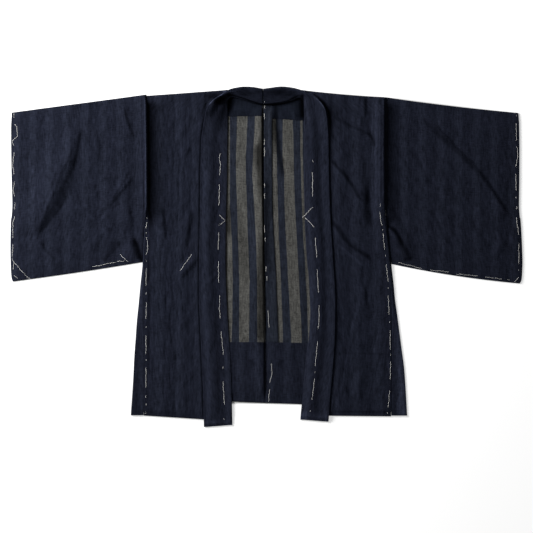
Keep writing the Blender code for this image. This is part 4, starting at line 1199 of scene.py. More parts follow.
class Shell:
    """Points, faces and values of one sheet, which become one object with a wall."""

    SMOOTH_ANGLE: ClassVar[float] = 52.0  # faces that meet more sharply keep a hard edge

    def __init__(self, surface: Surface) -> None:
        """Take the points of a surface, and the faces between its rows and columns.

        Args:
            surface: the sheet's grid.
        """
        rows, columns = surface.phase.shape
        self.index = np.arange(rows * columns).reshape(rows, columns)
        self.points = surface.points.reshape(-1, 3)
        self.values = {name: getattr(surface, name).ravel() for name in Surface.VALUES}
        self.cut = surface.cut().reshape(-1, 2)
        self.faces: list[tuple[int, ...]] = []
        i = self.index
        self.add_faces(i[:-1, :-1], i[:-1, 1:], i[1:, 1:], i[1:, :-1])

    def add_faces(self, *corners: Grid) -> None:
        """Add faces, given the arrays of their first corners, their second ones and so on."""
        self.faces += [tuple(face) for face in np.stack([c.ravel() for c in corners], axis=1).tolist()]

    def add_points(self, points: Grid, like: Grid) -> Grid:
        """Add points that take their values from others.

        Args:
            points: new places.
            like: indices of the points that they are like.

        Returns:
            The new points' indices.
        """
        first = len(self.points)
        self.points = np.concatenate([self.points, points])
        self.cut = np.concatenate([self.cut, self.cut[like]])
        for name in self.values:
            self.values[name] = np.concatenate([self.values[name], self.values[name][like]])
        return np.arange(first, first + len(points))

    def sew(self, upper: list[Grid], lower: list[Grid], bulge: float) -> None:
        """Close the gap between two chains of edges with a rounded strip.

        Args:
            upper: chains of indices on the upper layer, end to end.
            lower: the chains of the lower layer that they meet.
            bulge: how far the strip's middle stands out.
        """
        top, top_at = self._chain(upper)
        low, low_at = self._chain(lower)
        under = np.stack([np.interp(top_at, low_at, self.points[low, k]) for k in range(3)], axis=1)
        middle = (self.points[top] + under) / 2
        centre = self.points[:, :2].mean(axis=0)
        tangent = np.gradient(middle[:, :2], axis=0)
        outward = unit(np.stack([tangent[:, 1], -tangent[:, 0]], axis=1))
        if ((middle[:, :2] - centre) * outward).sum() < 0:
            outward = -outward
        middle[:, :2] += outward * bulge
        between = self.add_points(middle, top)
        self.add_faces(top[:-1], top[1:], between[1:], between[:-1])
        self._zip(between, top_at, low, low_at)

    def _chain(self, parts: list[Grid]) -> tuple[Grid, Grid]:
        """Join chains end to end, and number each point by its part and its place in that part.

        Args:
            parts: indices of each chain's points.

        Returns:
            The indices of all of them, and their numbers.
        """
        indices, places = [], []
        for number, part in enumerate(parts):
            length = np.linalg.norm(np.diff(self.points[part], axis=0), axis=1).sum()
            at = number + passed_along(self.points[part]) / max(length, TINY)
            keep = slice(0 if number == 0 else 1, None)
            indices.append(part[keep])
            places.append(at[keep])
        return np.concatenate(indices), np.concatenate(places)

    def _zip(self, a: Grid, a_at: Grid, b: Grid, b_at: Grid) -> None:
        """Fill in triangles between two chains whose points aren't level with each other.

        Args:
            a: indices of one chain.
            a_at: their places along it.
            b: indices of the other.
            b_at: their places along it.
        """
        i = j = 0
        while i < len(a) - 1 or j < len(b) - 1:
            if j == len(b) - 1 or (i < len(a) - 1 and a_at[i + 1] <= b_at[j + 1]):
                self.faces.append((int(a[i]), int(a[i + 1]), int(b[j])))
                i += 1
            else:
                self.faces.append((int(a[i]), int(b[j + 1]), int(b[j])))
                j += 1

    def build(self, node: str, slot: str, finishes: tuple[ClothFinish, ...], face_up: int,
              wall: float | None = CLOTH) -> Object:
        """Args:
            node: name of the solid that it replaces.
            slot: its part of the garment; not used.
            finishes: finish of the outer side, and of the inner side where it differs.
            face_up: number of a face that looks up once the faces are turned out.
            wall: thickness of the cloth, or None where the shell is closed already.

        Returns:
            The finished object.
        """
        mesh = bpy.data.meshes.new(node + "_cloth")
        mesh.from_pydata((self.points * MM).tolist(), [], self.faces)
        bpy.ops.object.select_all(action="DESELECT")
        cloth = bpy.data.objects.new(mesh.name, mesh)
        bpy.context.scene.collection.objects.link(cloth)
        cloth.select_set(True)
        bpy.context.view_layer.objects.active = cloth
        layer = mesh.uv_layers.new(name="cut")
        corner = np.empty(len(mesh.loops), np.int32)
        mesh.loops.foreach_get("vertex_index", corner)
        layer.data.foreach_set("uv", self.cut[corner].astype(np.float32).ravel())
        for key, values in self.values.items():
            mesh.attributes.new(key, "FLOAT", "POINT").data.foreach_set("value", values.astype(np.float32))
        bpy.ops.object.mode_set(mode="EDIT")
        bpy.ops.mesh.select_all(action="SELECT")
        bpy.ops.mesh.normals_make_consistent(inside=False)
        bpy.ops.object.mode_set(mode="OBJECT")
        if mesh.polygons[face_up].normal.z < 0:
            bpy.ops.object.mode_set(mode="EDIT")
            bpy.ops.mesh.flip_normals()
            bpy.ops.object.mode_set(mode="OBJECT")
        for finish in finishes:
            mesh.materials.append(finish.material())
        if wall is not None:
            solidify = cloth.modifiers.new("wall", "SOLIDIFY")
            solidify.thickness = wall * MM
            solidify.offset = 0.0
            solidify.use_quality_normals = True
            solidify.material_offset = len(finishes) - 1
            bpy.ops.object.modifier_apply(modifier="wall")
        bpy.ops.object.shade_smooth_by_angle(angle=math.radians(self.SMOOTH_ANGLE))
        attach(cloth, "root")
        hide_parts(node)
        log.info("%s: %d faces", cloth.name, len(cloth.data.polygons))
        return cloth


# ---------------------------------------------------------------- pieces
@dataclass(frozen=True)
class Roll:
    """The rounded edge where a piece bulges over the lower one that it is sewn to."""

    reach: float = 3.0  # how far in from the seam the bulge begins
    bulge: float = 0.55  # how far it overhangs, for each millimetre of half its height
    angles: tuple[float, ...] = tuple(math.pi * k / 8 for k in range(8))

    def columns(self, seam: Grid, y: Grid, crown: Grid, meeting: Grid, towards: int) -> Grids:
        """Places of the edge's columns, from the seam inwards.

        Args:
            seam: distance of the seam in each row.
            y: y of each row there.
            crown: height where the bulge begins.
            meeting: height of the seam.
            towards: 1 where the neighbour lies further out, -1 where it lies further in.

        Returns:
            Distances, y and heights, one column for each angle.
        """
        angle = np.array(self.angles)[None, :]
        rise = (crown - meeting)[:, None]
        over = self.bulge * np.maximum(rise, 0.0) / 2 * np.sin(angle)
        out = seam[:, None] + towards * (over - self.reach * angle / math.pi)
        height = meeting[:, None] + rise * (1 - np.cos(angle)) / 2
        return out, y[:, None] + 0 * out, height


ROLL = Roll()


@dataclass
class Piece:
    """A cut piece of one half, made of one shell of cloth."""

    half: Half
    finish: ClothFinish

    def surface(self, out: Grid, y: Grid, z: Grid, outer: Stripes, inner: Stripes | None = None) -> Surface:
        """A block of points at the given distances out, y and heights, with its stripes."""
        return Surface.woven(self.half.sign * out, y, z, self.half.painted_light_and_stains, outer, inner)

    def finished(self, kind: str, shell: Shell, face_up: int) -> Object:
        """The object of a piece of the body, given its shell and a face that looks up."""
        return shell.build(f"{kind}_{self.half.name}", "body_cloth", (self.finish, INNER), face_up)


@dataclass
class BodyHalf(Piece):
    """One half's single length: turned-up back hem, back, shoulder fold, front, turned-up front hem."""

    columns: int = 92
    edge_columns: float = 0.17  # share of the columns that lie near the inner edge
    edge_width: float = 0.06  # share of the width that they take
    pace_front: float = 3.5  # between rows
    pace_back: float = 6.0
    front_length: float = 845.0  # rough length of the front, for its number of rows
    shoulder_rows: float = 75.0  # length over which the back's rows follow the neck's curve
    neck_rows: int = 12
    shoulder_gap: float = 10.0  # from the last of them to the shoulder fold at the sleeve
    fold_start: float = 6.0  # from the shoulder fold to the front's first row
    turn_up_pace: float = 0.04  # between rows of the turned-up back hem, as a share of its depth
    facing_pace: float = 0.055  # and of the turned-up front hem
    turn_up_gap: float = 0.6  # how far the turned-up back hem ends short of the side seam
    facing_gap: float = 0.3  # and the turned-up front hem
    over_neck: Span = (392.0, 420.0)  # y between which the front's edge leaves the collar for the neck
    sleeve_depth: float = 430.0  # of the sleeve where it meets the body

    def shares(self) -> Grid:
        """Shares of the way across, closer together near the inner edge.

        Returns:
            One row of numbers from 0 to 1.
        """
        near = round(self.columns * self.edge_columns)
        return np.concatenate([np.linspace(0.0, self.edge_width, near, endpoint=False),
                               np.linspace(self.edge_width, 1.0, self.columns - near)])[None, :]

    def centre(self, y: Grid) -> Grid:
        """Distance of the centre back seam."""
        return self.half.sign * track(CENTRE_SEAM, y) + SEAM_GAP / 2

    def seam(self, y: Grid) -> Grid:
        """Distance of the side seam and the armhole."""
        return track(self.half.side_seam, y) - SEAM_GAP / 2

    def front_edge(self, y: Grid) -> Grid:
        """Distance of the front panel's edge under the collar."""
        under = track(self.half.collar_inner, y) + FRONT_UNDER_COLLAR
        return lerp(under, self.neck_end(), smooth_step(*self.over_neck, y))

    def neck_end(self) -> float:
        """Distance of the panel's inner edge at the shoulder."""
        return self.half.neck[-1][0] + 0.5

    def lining_level(self, out: Grid, y: Grid) -> Grid:
        """Height of the turned-up back hem."""
        return LINING_LEVEL + self.half.inside_lift(out, y)

    def back_level(self, out: Grid, y: Grid) -> Grid:
        """Height of the back."""
        return BACK_LEVEL + self.half.inside_lift(out, y)

    def facing_level(self, _: Grid, y: Grid) -> Grid:
        """Height of the turned-up front hem, which droops with the front."""
        hem = lerp(*self.half.front_hem, self.shares())
        return lerp(FACING_HEM_LEVEL, FRONT_FACING_LEVEL, smooth_step(hem, DROOP_START, y))

    def rows(self, edge: Line, y_in: Grid, y_out: Grid, level: Level, stripes: tuple[Stripes, Stripes],
             gap: float = 0.0, sag: Grid | float = 0.0, sleeve: bool = False) -> Surface:
        """A block of rows, each from the panel's inner edge to its seam.

        Args:
            edge: distance of the inner edge at each y.
            y_in: y of each row's inner end.
            y_out: y of its outer end.
            level: height at each distance and y.
            stripes: the patterns of the outer face and of the inner face.
            gap: how far the rows end short of the seam.
            sag: how far the rows bow in y halfway across.
            sleeve: true where the rows end at the sleeve's own height.

        Returns:
            The block's points and values.
        """
        out_in, out_out = edge(y_in)[:, None], (self.seam(y_out) - gap)[:, None]
        y_in, y_out = y_in[:, None], y_out[:, None]
        share = self.shares()
        out = lerp(out_in, out_out - ROLL.reach, share)
        y = lerp(y_in, y_out, share) + np.reshape(sag, (-1, 1)) * 4 * share * (1 - share)
        z = level(out, y) + 0 * out
        crown = z[:, -1]
        meeting = crown
        if sleeve:
            top = np.full(len(crown), self.half.sleeve_top[0])
            beside = self.half.sleeve_level(out_out[:, 0], y_out[:, 0], top, top - self.sleeve_depth)
            above = smooth_step(ARMHOLE_END - 40, ARMHOLE_END, y_out[:, 0])
            free = level(out_out, y_out)[:, 0]
            meeting = lerp(free, np.minimum(free, beside), above)
        roll = ROLL.columns(out_out[:, 0], y_out[:, 0], crown, meeting, 1)
        out, y, z = (np.concatenate([part, side[:, ::-1]], axis=1) for part, side in zip((out, y, z), roll))
        return self.surface(out, y, z, *stripes)

    def hem_bend(self, edge: Line, hem: Span, levels: Span, stripes: tuple[Stripes, Stripes]) -> Surface:
        """The rows of a hem's bend.

        Args:
            edge: distance of the inner edge at each y.
            hem: y of the hem at the inner edge and at the seam.
            levels: the bend's lower and upper level.
            stripes: the patterns of the outer face and of the inner face.

        Returns:
            The block's points and values.
        """
        outward, heights = bend(*levels)
        y_in, y_out = (end + hem_reach(*levels) - outward for end in hem)
        return self.rows(edge, y_in, y_out, lambda *_: heights[:, None], stripes)

    def turn_up(self) -> list[Surface]:
        """The turned-up back hem and its bend, from its free edge down.

        Returns:
            Blocks of rows.
        """
        half, levels = self.half, (BACK_LEVEL, LINING_LEVEL)
        share = paced(0.0, 1.0, self.turn_up_pace)
        stripes = (half.turn_up_stripes, half.back_stripes)
        y_in, y_out = (lerp(free, hem + hem_reach(*levels), share)
                       for free, hem in zip(half.back_facing, half.back_hem))
        return [self.rows(self.centre, y_in, y_out, self.lining_level, stripes, self.turn_up_gap),
                self.hem_bend(self.centre, half.back_hem, levels, stripes)]

    def back(self) -> list[Surface]:
        """The back, from its hem up to the shoulder.

        Returns:
            Blocks of rows.
        """
        half = self.half
        reach = hem_reach(BACK_LEVEL, LINING_LEVEL)
        stripes = (half.front_stripes, half.back_stripes)
        below_neck = half.shoulder[1] - self.shoulder_rows
        share = paced(0.0, 1.0, self.pace_back / (half.neck[0][1] - half.back_hem[0]))
        y_in = lerp(half.back_hem[0] + reach, half.neck[0][1] - SEAM_GAP, share)
        y_out = lerp(half.back_hem[1] + reach, below_neck, share)
        blocks = [self.rows(self.centre, y_in, y_out, self.back_level, stripes)]
        stations = np.linspace(0.0, 1.0, self.neck_rows + 1)[1:]
        neck = np.array(half.neck)
        out_in, y_in = (np.interp(stations, np.linspace(0.0, 1.0, len(neck)), neck[:, k]) for k in range(2))
        y_out = lerp(below_neck, half.shoulder[1] - self.shoulder_gap, stations)
        blocks.append(self.rows(lambda _: out_in, y_in - SEAM_GAP, y_out, self.back_level, stripes))
        return blocks

    def shoulder_fold(self) -> Surface:
        """The fold that carries the back over into the front.

        Returns:
            A block of rows.
        """
        half = self.half
        share = np.linspace(0.0, 1.0, self.columns + len(ROLL.angles))[None, :]
        angle = np.linspace(-math.pi / 2, math.pi / 2, 10)[:, None]
        out = lerp(self.neck_end(), self.seam(np.array(half.shoulder[1])), share)
        y_fold = bowed(half.shoulder, share)
        radius = (half.front_level(out, y_fold) - BACK_LEVEL) / 2
        y = y_fold - CLOTH / 2 - radius + radius * np.cos(angle)
        z = BACK_LEVEL + radius * (1 + np.sin(angle))
        return self.surface(out + 0 * angle, y, z, half.front_stripes, half.back_stripes)

    def front(self) -> list[Surface]:
        """The front, its hem's bend and its turned-up hem.

        Returns:
            Blocks of rows.
        """
        half, levels = self.half, (FACING_HEM_LEVEL, FRONT_HEM_LEVEL)
        stripes = (half.front_stripes, half.front_stripes)
        hem = [end + hem_reach(*levels) for end in half.front_hem]
        share = paced(0.0, 1.0, self.pace_front / self.front_length)
        y_in, y_out = (lerp(half.shoulder[k] - self.fold_start, hem[k], share) for k in range(2))
        blocks = [self.rows(self.front_edge, y_in, y_out, half.front_level, stripes,
                            sag=half.shoulder[2] * (1 - share) ** 8, sleeve=True),
                  self.hem_bend(self.front_edge, half.front_hem, levels, stripes)]
        share = paced(0.0, 1.0, self.facing_pace)
        y_in, y_out = (lerp(hem[k], half.front_facing[k], share) for k in range(2))
        blocks.append(self.rows(self.front_edge, y_in, y_out, self.facing_level, stripes, self.facing_gap))
        return blocks

    def build(self) -> Object:
        blocks = self.turn_up() + self.back() + [self.shoulder_fold()] + self.front()
        return self.finished("body", Shell(Surface.joined(blocks)), 0)


@dataclass
class Sleeve(Piece):
    """A flattened tube: folded at the top, open at the armhole and the cuff, sewn shut elsewhere."""

    columns: int = 118
    upper_rows: int = 170
    lower_rows: int = 46
    fold_rows: int = 7
    fold_reach: float = 1.3  # how far the top fold may stand out past the layers
    fold_setback: float = 0.9  # from its outermost line to the layers' first rows
    sewn_bulge: float = 0.9  # of the sewn edges

    def lines(self, share: Grid) -> tuple[Grid, Grid]:
        """y of the top fold and of the bottom seam, a share of the way to the cuff."""
        return bowed(self.half.sleeve_top, share), bowed(self.half.sleeve_bottom, share)

    def down(self, rows: int) -> Grid:
        """Share of the way from the top fold to the bottom seam for each row."""
        eased = 0.5 - 0.5 * np.cos(np.pi * np.linspace(0.045, 1.0, rows))
        return (eased - eased[0]) / (1 - eased[0])

    def edge(self, y: Grid, upper: bool) -> Grid:
        """Inner edge of a layer: the armhole's seam, and beside the gusset below that.

        Args:
            y: places along.
            upper: whether it is the layer on top.

        Returns:
            Distances out from x = 0.
        """
        armhole, free = track(self.half.armhole, y), 1 - smooth_step(ARMHOLE_END - 12, ARMHOLE_END, y)
        if upper:
            return armhole + SEAM_GAP / 2 + free * CLOTH / 2
        beside = np.minimum(track(self.half.gusset_fold, y) + CLOTH, armhole + CLOTH / 2)
        return lerp(armhole, beside, free) + SEAM_GAP / 2

    def layer(self, down: Grid, upper: bool) -> Grids:
        """Points of one layer.

        Args:
            down: share of the way from the top fold to the bottom seam, for each row.
            upper: whether it is the layer on top.

        Returns:
            Distances, y and heights.
        """
        half = self.half
        share = np.linspace(0.0, 1.0, self.columns)
        share = np.concatenate([share[:-1], [1 - 0.35 / self.columns, 1.0]])[None, :]
        top, bottom = self.lines(share)
        y = lerp(top - CLOTH / 2 - self.fold_setback, bottom + CLOTH / 2, down[:, None])
        out = lerp(self.edge(y, upper) + ROLL.reach, track(half.cuff, y) - CLOTH / 2, share)
        z = np.full(out.shape, BACK_LEVEL)
        y_edge = y[:, :1]
        seam = self.edge(y_edge, upper)
        meeting = z[:, 0]
        if upper:
            z = half.sleeve_level(out, y, top, bottom)
            rest = half.sleeve_level(seam, y_edge, top[:, :1], bottom[:, :1])
            body = half.front_level(track(half.side_seam, y_edge), y_edge)
            above = smooth_step(ARMHOLE_END - 40, ARMHOLE_END, y_edge)
            meeting = lerp(SLEEVE_EDGE_LEVEL + 0 * rest, np.minimum(rest, body), above)[:, 0]
        roll = ROLL.columns(seam[:, 0], y_edge[:, 0], z[:, 0], meeting, -1)
        return tuple(np.concatenate([side, part], axis=1) for side, part in zip(roll, (out, y, z)))

    def build(self) -> Object:
        """Returns:
            The finished object.
        """
        upper = self.layer(self.down(self.upper_rows), True)
        lower = self.layer(self.down(self.lower_rows)[::-1], False)
        angle = np.linspace(-math.pi / 2, math.pi / 2, self.fold_rows + 2)[1:-1, None]
        radius = (upper[2][:1] - BACK_LEVEL) / 2
        fold = (upper[0][:1] + 0 * angle, upper[1][:1] + np.minimum(radius, self.fold_reach) * np.cos(angle),
                BACK_LEVEL + radius * (1 + np.sin(angle)))
        out, y, z = (np.concatenate(parts) for parts in zip(lower, fold, upper))
        shell = Shell(self.surface(out, y, z, self.half.sleeve_stripes))
        head = self.lower_rows + self.fold_rows
        chains = [[index[at[:, 0] < ARMHOLE_END, 0], index[-1], index[at[:, -1] < CUFF_END, -1][::-1]]
                  for index, at in ((shell.index[head:], y[head:]),
                                    (shell.index[:self.lower_rows][::-1], y[:self.lower_rows][::-1]))]
        shell.sew(*chains, self.sewn_bulge)
        row, column = head + 40, 60  # a face in the middle of the upper layer
        return self.finished("sleeve", shell, (out.shape[1] - 1) * row + column)


@dataclass
class Gusset(Piece):
    """A long wedge folded lengthwise, between the front's and the back's side seams."""

    rows: int = 120
    upper: int = 18  # columns of the upper layer
    lower: int = 8
    puff: float = 0.5  # how far the upper layer stands up between its edges

    def build(self) -> Object:
        """Returns:
            The finished object.
        """
        half, low, high = self.half, BACK_LEVEL, SLEEVE_EDGE_LEVEL
        length = abs(GUSSET_POINT - half.gusset_hem)
        y = paced(GUSSET_POINT, half.gusset_hem, length / self.rows)[:, None]
        seam = track(half.side_seam, y) + SEAM_GAP
        fold = track(half.gusset_fold, y) - CLOTH / 2 - (high - low) / 2
        edge = half.front_level(track(half.side_seam, y) - 0.2, y)
        share = np.linspace(0.0, 1.0, self.upper)[None, :]
        out = lerp(seam, fold, share)
        wide = fold - seam
        fade = smooth_step(0.0, 4.0, share * wide) * smooth_step(0.0, 6.0, (1 - share) * wide)
        waves = relief(half.gusset_relief, half.sign * out, y)
        z = lerp(edge, high, share ** 1.5) + fade * (self.puff + waves)
        outward, level = bend(low, high, 8)
        passed = (GUSSET_POINT - y) / (GUSSET_POINT - half.gusset_hem)
        y_under = lerp(GUSSET_POINT, half.back_hem[1] + 0.5, passed)
        share = np.linspace(1.0, 0.0, self.lower)[None, :]
        parts = ((out, y + 0 * out, z),
                 (fold + outward, y + 0 * outward, level + 0 * fold),
                 (lerp(seam, fold, share), lerp(y_under, y, share), low + 0 * share + 0 * y))
        out, y, z = (np.concatenate(part, axis=1) for part in zip(*parts))
        shell = Shell(self.surface(out, y, z, half.front_stripes))
        return self.finished("gusset", shell, (out.shape[1] - 1) * (self.rows // 2) + self.upper // 2)


@dataclass
class Collar(Piece):
    """One half of the doubled strip: folded back at the neck, lying its full width on the front."""

    width: float = 70.0  # of the strip
    pace: float = 2.8  # along it
    across: float = 1.6  # across, away from the edges
    near_edge: tuple[float, ...] = (0.0, 0.08, 0.25, 0.55, 0.95, 1.35, 2.0, 2.8, 3.8)  # columns there
    steady_from: float = 5.0  # distance from either edge where the even columns start
    edge_radius: float = 1.3
    extra: float = 0.7  # how much thicker it is at the sewn edge
    extra_fades: float = 6.0  # distance over which that fades
    thinned: float = 0.6  # share that its underside loses where it is bent over the shoulder
    above_front: float = CLOTH / 2 + LAYER_GAP + COLLAR_WALL / 2 + 0.6  # its middle above the front's
    on_table: float = COLLAR_WALL / 2 + 0.2  # its middle where it lies on the table
    tucked: float = 3.4  # height of its sewn edge
    bend_before: float = 5.0  # how far from its corner a bend begins
    bend_after: float = 7.0  # and where it ends
    bend_share: float = 0.45  # most that it may take of the side before the corner, or after it

    def lying_folds(self, share: Grid) -> Grid:
        """Sections where the strip lies on the front.

        Args:
            share: shares of the way from the shoulder to the collar's end.

        Returns:
            An array of sections, four corners, distance y height.
        """
        half, low = self.half, self.on_table
        y_in, y_out = (lerp(COLLAR_LIES_FROM, end, share) for end in half.collar_end)
        inner, outer = track(half.collar_inner, y_in), track(half.collar_outer, y_out)
        lift = track(half.collar_lift, y_in)
        past_hem = smooth_step(half.front_hem[0], half.collar_end[0], y_in)
        level, near = (lerp(half.front_level(inner + out, y_in) + self.above_front, low, past_hem)
                       for out in (60, 12))
        tucked = lerp(self.tucked, low, smooth_step(DROOP_START, half.collar_end[0], y_in))
        corners = ((inner, y_in, np.minimum(tucked, near)), (inner + 7, y_in, near - 0.3 * (1 - past_hem)),
                   (outer - 8, y_out, level + 0.75 * lift), (outer, y_out, level + lift))
        return np.stack([np.stack(corner, axis=1) for corner in corners], axis=1)

    def sections(self) -> Grid:
        """Sections at an even pace along the strip, with those of the neck joined smoothly.

        Returns:
            An array of sections, four corners, distance y height.
        """
        neck = np.array([[fold.seam, fold.crest, fold.turn, fold.edge] for fold in self.half.collar_neck])
        controls = np.concatenate([neck, self.lying_folds(np.array([0.0, 0.03]))])
        rows = []
        for k in range(len(neck)):
            before = controls[max(k - 1, 0)]
            start, end, after = controls[k], controls[k + 1], controls[k + 2]
            count = max(2, round(np.linalg.norm(end - start, axis=1).max() / self.pace))
            t = (np.arange(count) / count)[:, None, None]
            first, last = (end - before) / 2, (after - start) / 2
            rows.append((2 * t ** 3 - 3 * t ** 2 + 1) * start + (t ** 3 - 2 * t ** 2 + t) * first
                        + (3 * t ** 2 - 2 * t ** 3) * end + (t ** 3 - t ** 2) * last)
        length = COLLAR_LIES_FROM - self.half.collar_end[0]
        share = np.concatenate([paced(0.0, 0.99, self.pace / length), np.linspace(0.99, 1.0, 8)[1:]])
        rows.append(self.lying_folds(share))
        return np.concatenate(rows)

    def middle(self, sections: Grid, stations: Grid) -> Grid:
        """Points across each section, with its two corners rounded.

        Args:
            sections: corners of each section.
            stations: shares of the strip's width.

        Returns:
            Rows of points.
        """
        rows = []
        t = np.linspace(0.0, 1.0, 9)[:, None]
        for seam, crest, turn, edge in sections:
            parts = [seam[None]]
            for before, corner, after in ((seam, crest, turn), (crest, turn, edge)):
                back, on = np.linalg.norm(before - corner), np.linalg.norm(after - corner)
                start = lerp(corner, before, min(self.bend_share, self.bend_before / max(back, 0.1)))
                end = lerp(corner, after, min(self.bend_share, self.bend_after / max(on, 0.1)))
                parts.append((1 - t) ** 2 * start + 2 * t * (1 - t) * corner + t * t * end)
            line = np.concatenate([*parts, edge[None]])
            passed = passed_along(line)
            at = stations * passed[-1]
            rows.append(np.stack([np.interp(at, passed, line[:, k]) for k in range(3)], axis=1))
        return np.array(rows)

    def ring(self, distance: Grid) -> Grid:
        """Rows of points round the strip: over its upper side and back under it.

        Args:
            distance: distance of each column from the sewn edge.

        Returns:
            The rows.
        """
        half, width = self.half, self.width
        middle = self.middle(self.sections(), distance / width)
        middle[..., 0] *= half.sign
        x, y = middle[..., 0], middle[..., 1]
        along, over = np.gradient(middle, axis=0), np.gradient(middle, axis=1)
        normal = unit(np.cross(over, along) * half.sign * -1.0)
        lies = np.maximum(smooth_step(0.0, 40.0, COLLAR_LIES_FROM + 10 - y),
                          smooth_step(70.0, 90.0, np.abs(x)))
        fade = smooth_step(2.0, 9.0, distance) * smooth_step(2.0, 9.0, width - distance)
        shape = lies * fade * relief(half.collar_relief, x, y)
        thick = (COLLAR_WALL + self.extra * np.exp(-distance / self.extra_fades)) / 2
        ends = np.minimum(distance, width - distance) / self.edge_radius
        round_edge = np.sqrt(np.clip(1 - (1 - np.clip(ends, 0.0, 1.0)) ** 2, 0.0, 1.0))
        upper = middle + normal * (thick * round_edge + shape)[..., None]
        bent = smooth_step(76.0, 88.0, np.abs(x)) * smooth_step(388.0, 402.0, y)
        thin = COLLAR_WALL / 2 * round_edge * (1 - self.thinned * bent)
        lower = middle - normal * (thin - shape)[..., None]
        lower[..., 2] = np.maximum(lower[..., 2], 0.05)
        return np.concatenate([upper, lower[:, -2:0:-1]], axis=1)

    def build(self) -> Object:
        """Returns:
            The finished object.
        """
        half, near = self.half, np.array(self.near_edge)
        steady = paced(self.steady_from, self.width - self.steady_from, self.across)
        distance = np.concatenate([near, steady, self.width - near[::-1]])
        ring = self.ring(distance)
        passed = np.concatenate([distance, distance[-2:0:-1]])
        first, second = half.collar_stripes
        phase = np.tile(0.5 + (passed - first) / (second - first), (len(ring), 1))
        shell = Shell(Surface(ring, phase, phase, painted_light_and_stain_gain(half.painted_light_and_stains, ring[..., 0], ring[..., 1])))
        index, across = shell.index, len(distance)
        shell.add_faces(index[:-1, -1], index[:-1, 0], index[1:, 0], index[1:, -1])
        for row in (index[0], index[-1]):
            shell.add_faces(row[:1], row[1:2], row[-1:])
            shell.add_faces(row[1:across - 2], row[2:across - 1], row[-2:across - 1:-1], row[:across:-1])
            shell.add_faces(row[across - 2:across - 1], row[across - 1:across], row[across:across + 1])
        row, column = 200, 20  # a face of the upper side
        face_up = (ring.shape[1] - 1) * row + column
        return shell.build("collar_" + half.name, "collar_cloth", (self.finish,), face_up, None)


@dataclass
class YokeLining(Piece):
    """Half of the lining that hangs inside the back under the neck."""

    columns: int = 76
    rows: int = 26
    binding_edge: float = 11.8  # distance of its inner end where it is tucked under the binding

    def build(self) -> Object:
        """Returns:
            The finished object.
        """
        half = self.half
        start = self.binding_edge if half.sign < 0 else track(BINDING_RIGHT, 380.0) + SEAM_GAP
        out = np.linspace(start, YOKE_END, self.columns)[None, :]
        top = np.minimum(track(half.neck, out) - 2 * SEAM_GAP, YOKE_TOP)
        low = lerp(*half.yoke_edge, np.linspace(0.0, 1.0, self.columns)[None, :])
        y = lerp(low, top, np.linspace(0.0, 1.0, self.rows)[:, None])
        out = out + 0 * y
        shell = Shell(self.surface(out, y, LINING_LEVEL + half.inside_lift(out, y), UNSTRIPED))
        return shell.build("yoke_lining_" + half.name, "lining_cloth", (self.finish,), 1)


@dataclass
class Binding:
    """The narrow strip over the centre back seam's allowances; on the garment it is folded under along both
    edges, here it is one sheet with its middle crowned.
    """

    finish: ClothFinish
    rows: int = 190
    columns: int = 22
    crown: float = 0.9  # how far its middle stands up over the seam allowances

    def build(self) -> Object:
        """Returns:
            The finished object.
        """
        top, bottom = BINDING_ENDS
        y = np.linspace(top, bottom + SEAM_GAP, self.rows)[:, None]
        share = np.linspace(0.0, 1.0, self.columns)[None, :]
        x = lerp(track(BINDING_LEFT, y), track(BINDING_RIGHT, y), share)
        ends = smooth_step(-222.0, -200.0, y) * (1 - smooth_step(350.0, 392.0, y))
        crown = self.crown * (1 - (2 * share - 1) ** 8) * ends
        z = LINING_LEVEL + LEFT.inside_lift(np.abs(x), y) + crown
        shell = Shell(Surface.woven(x, y + 0 * x, z, (), UNSTRIPED))
        return shell.build("centre_back_binding", "lining_cloth", (self.finish,), 1)


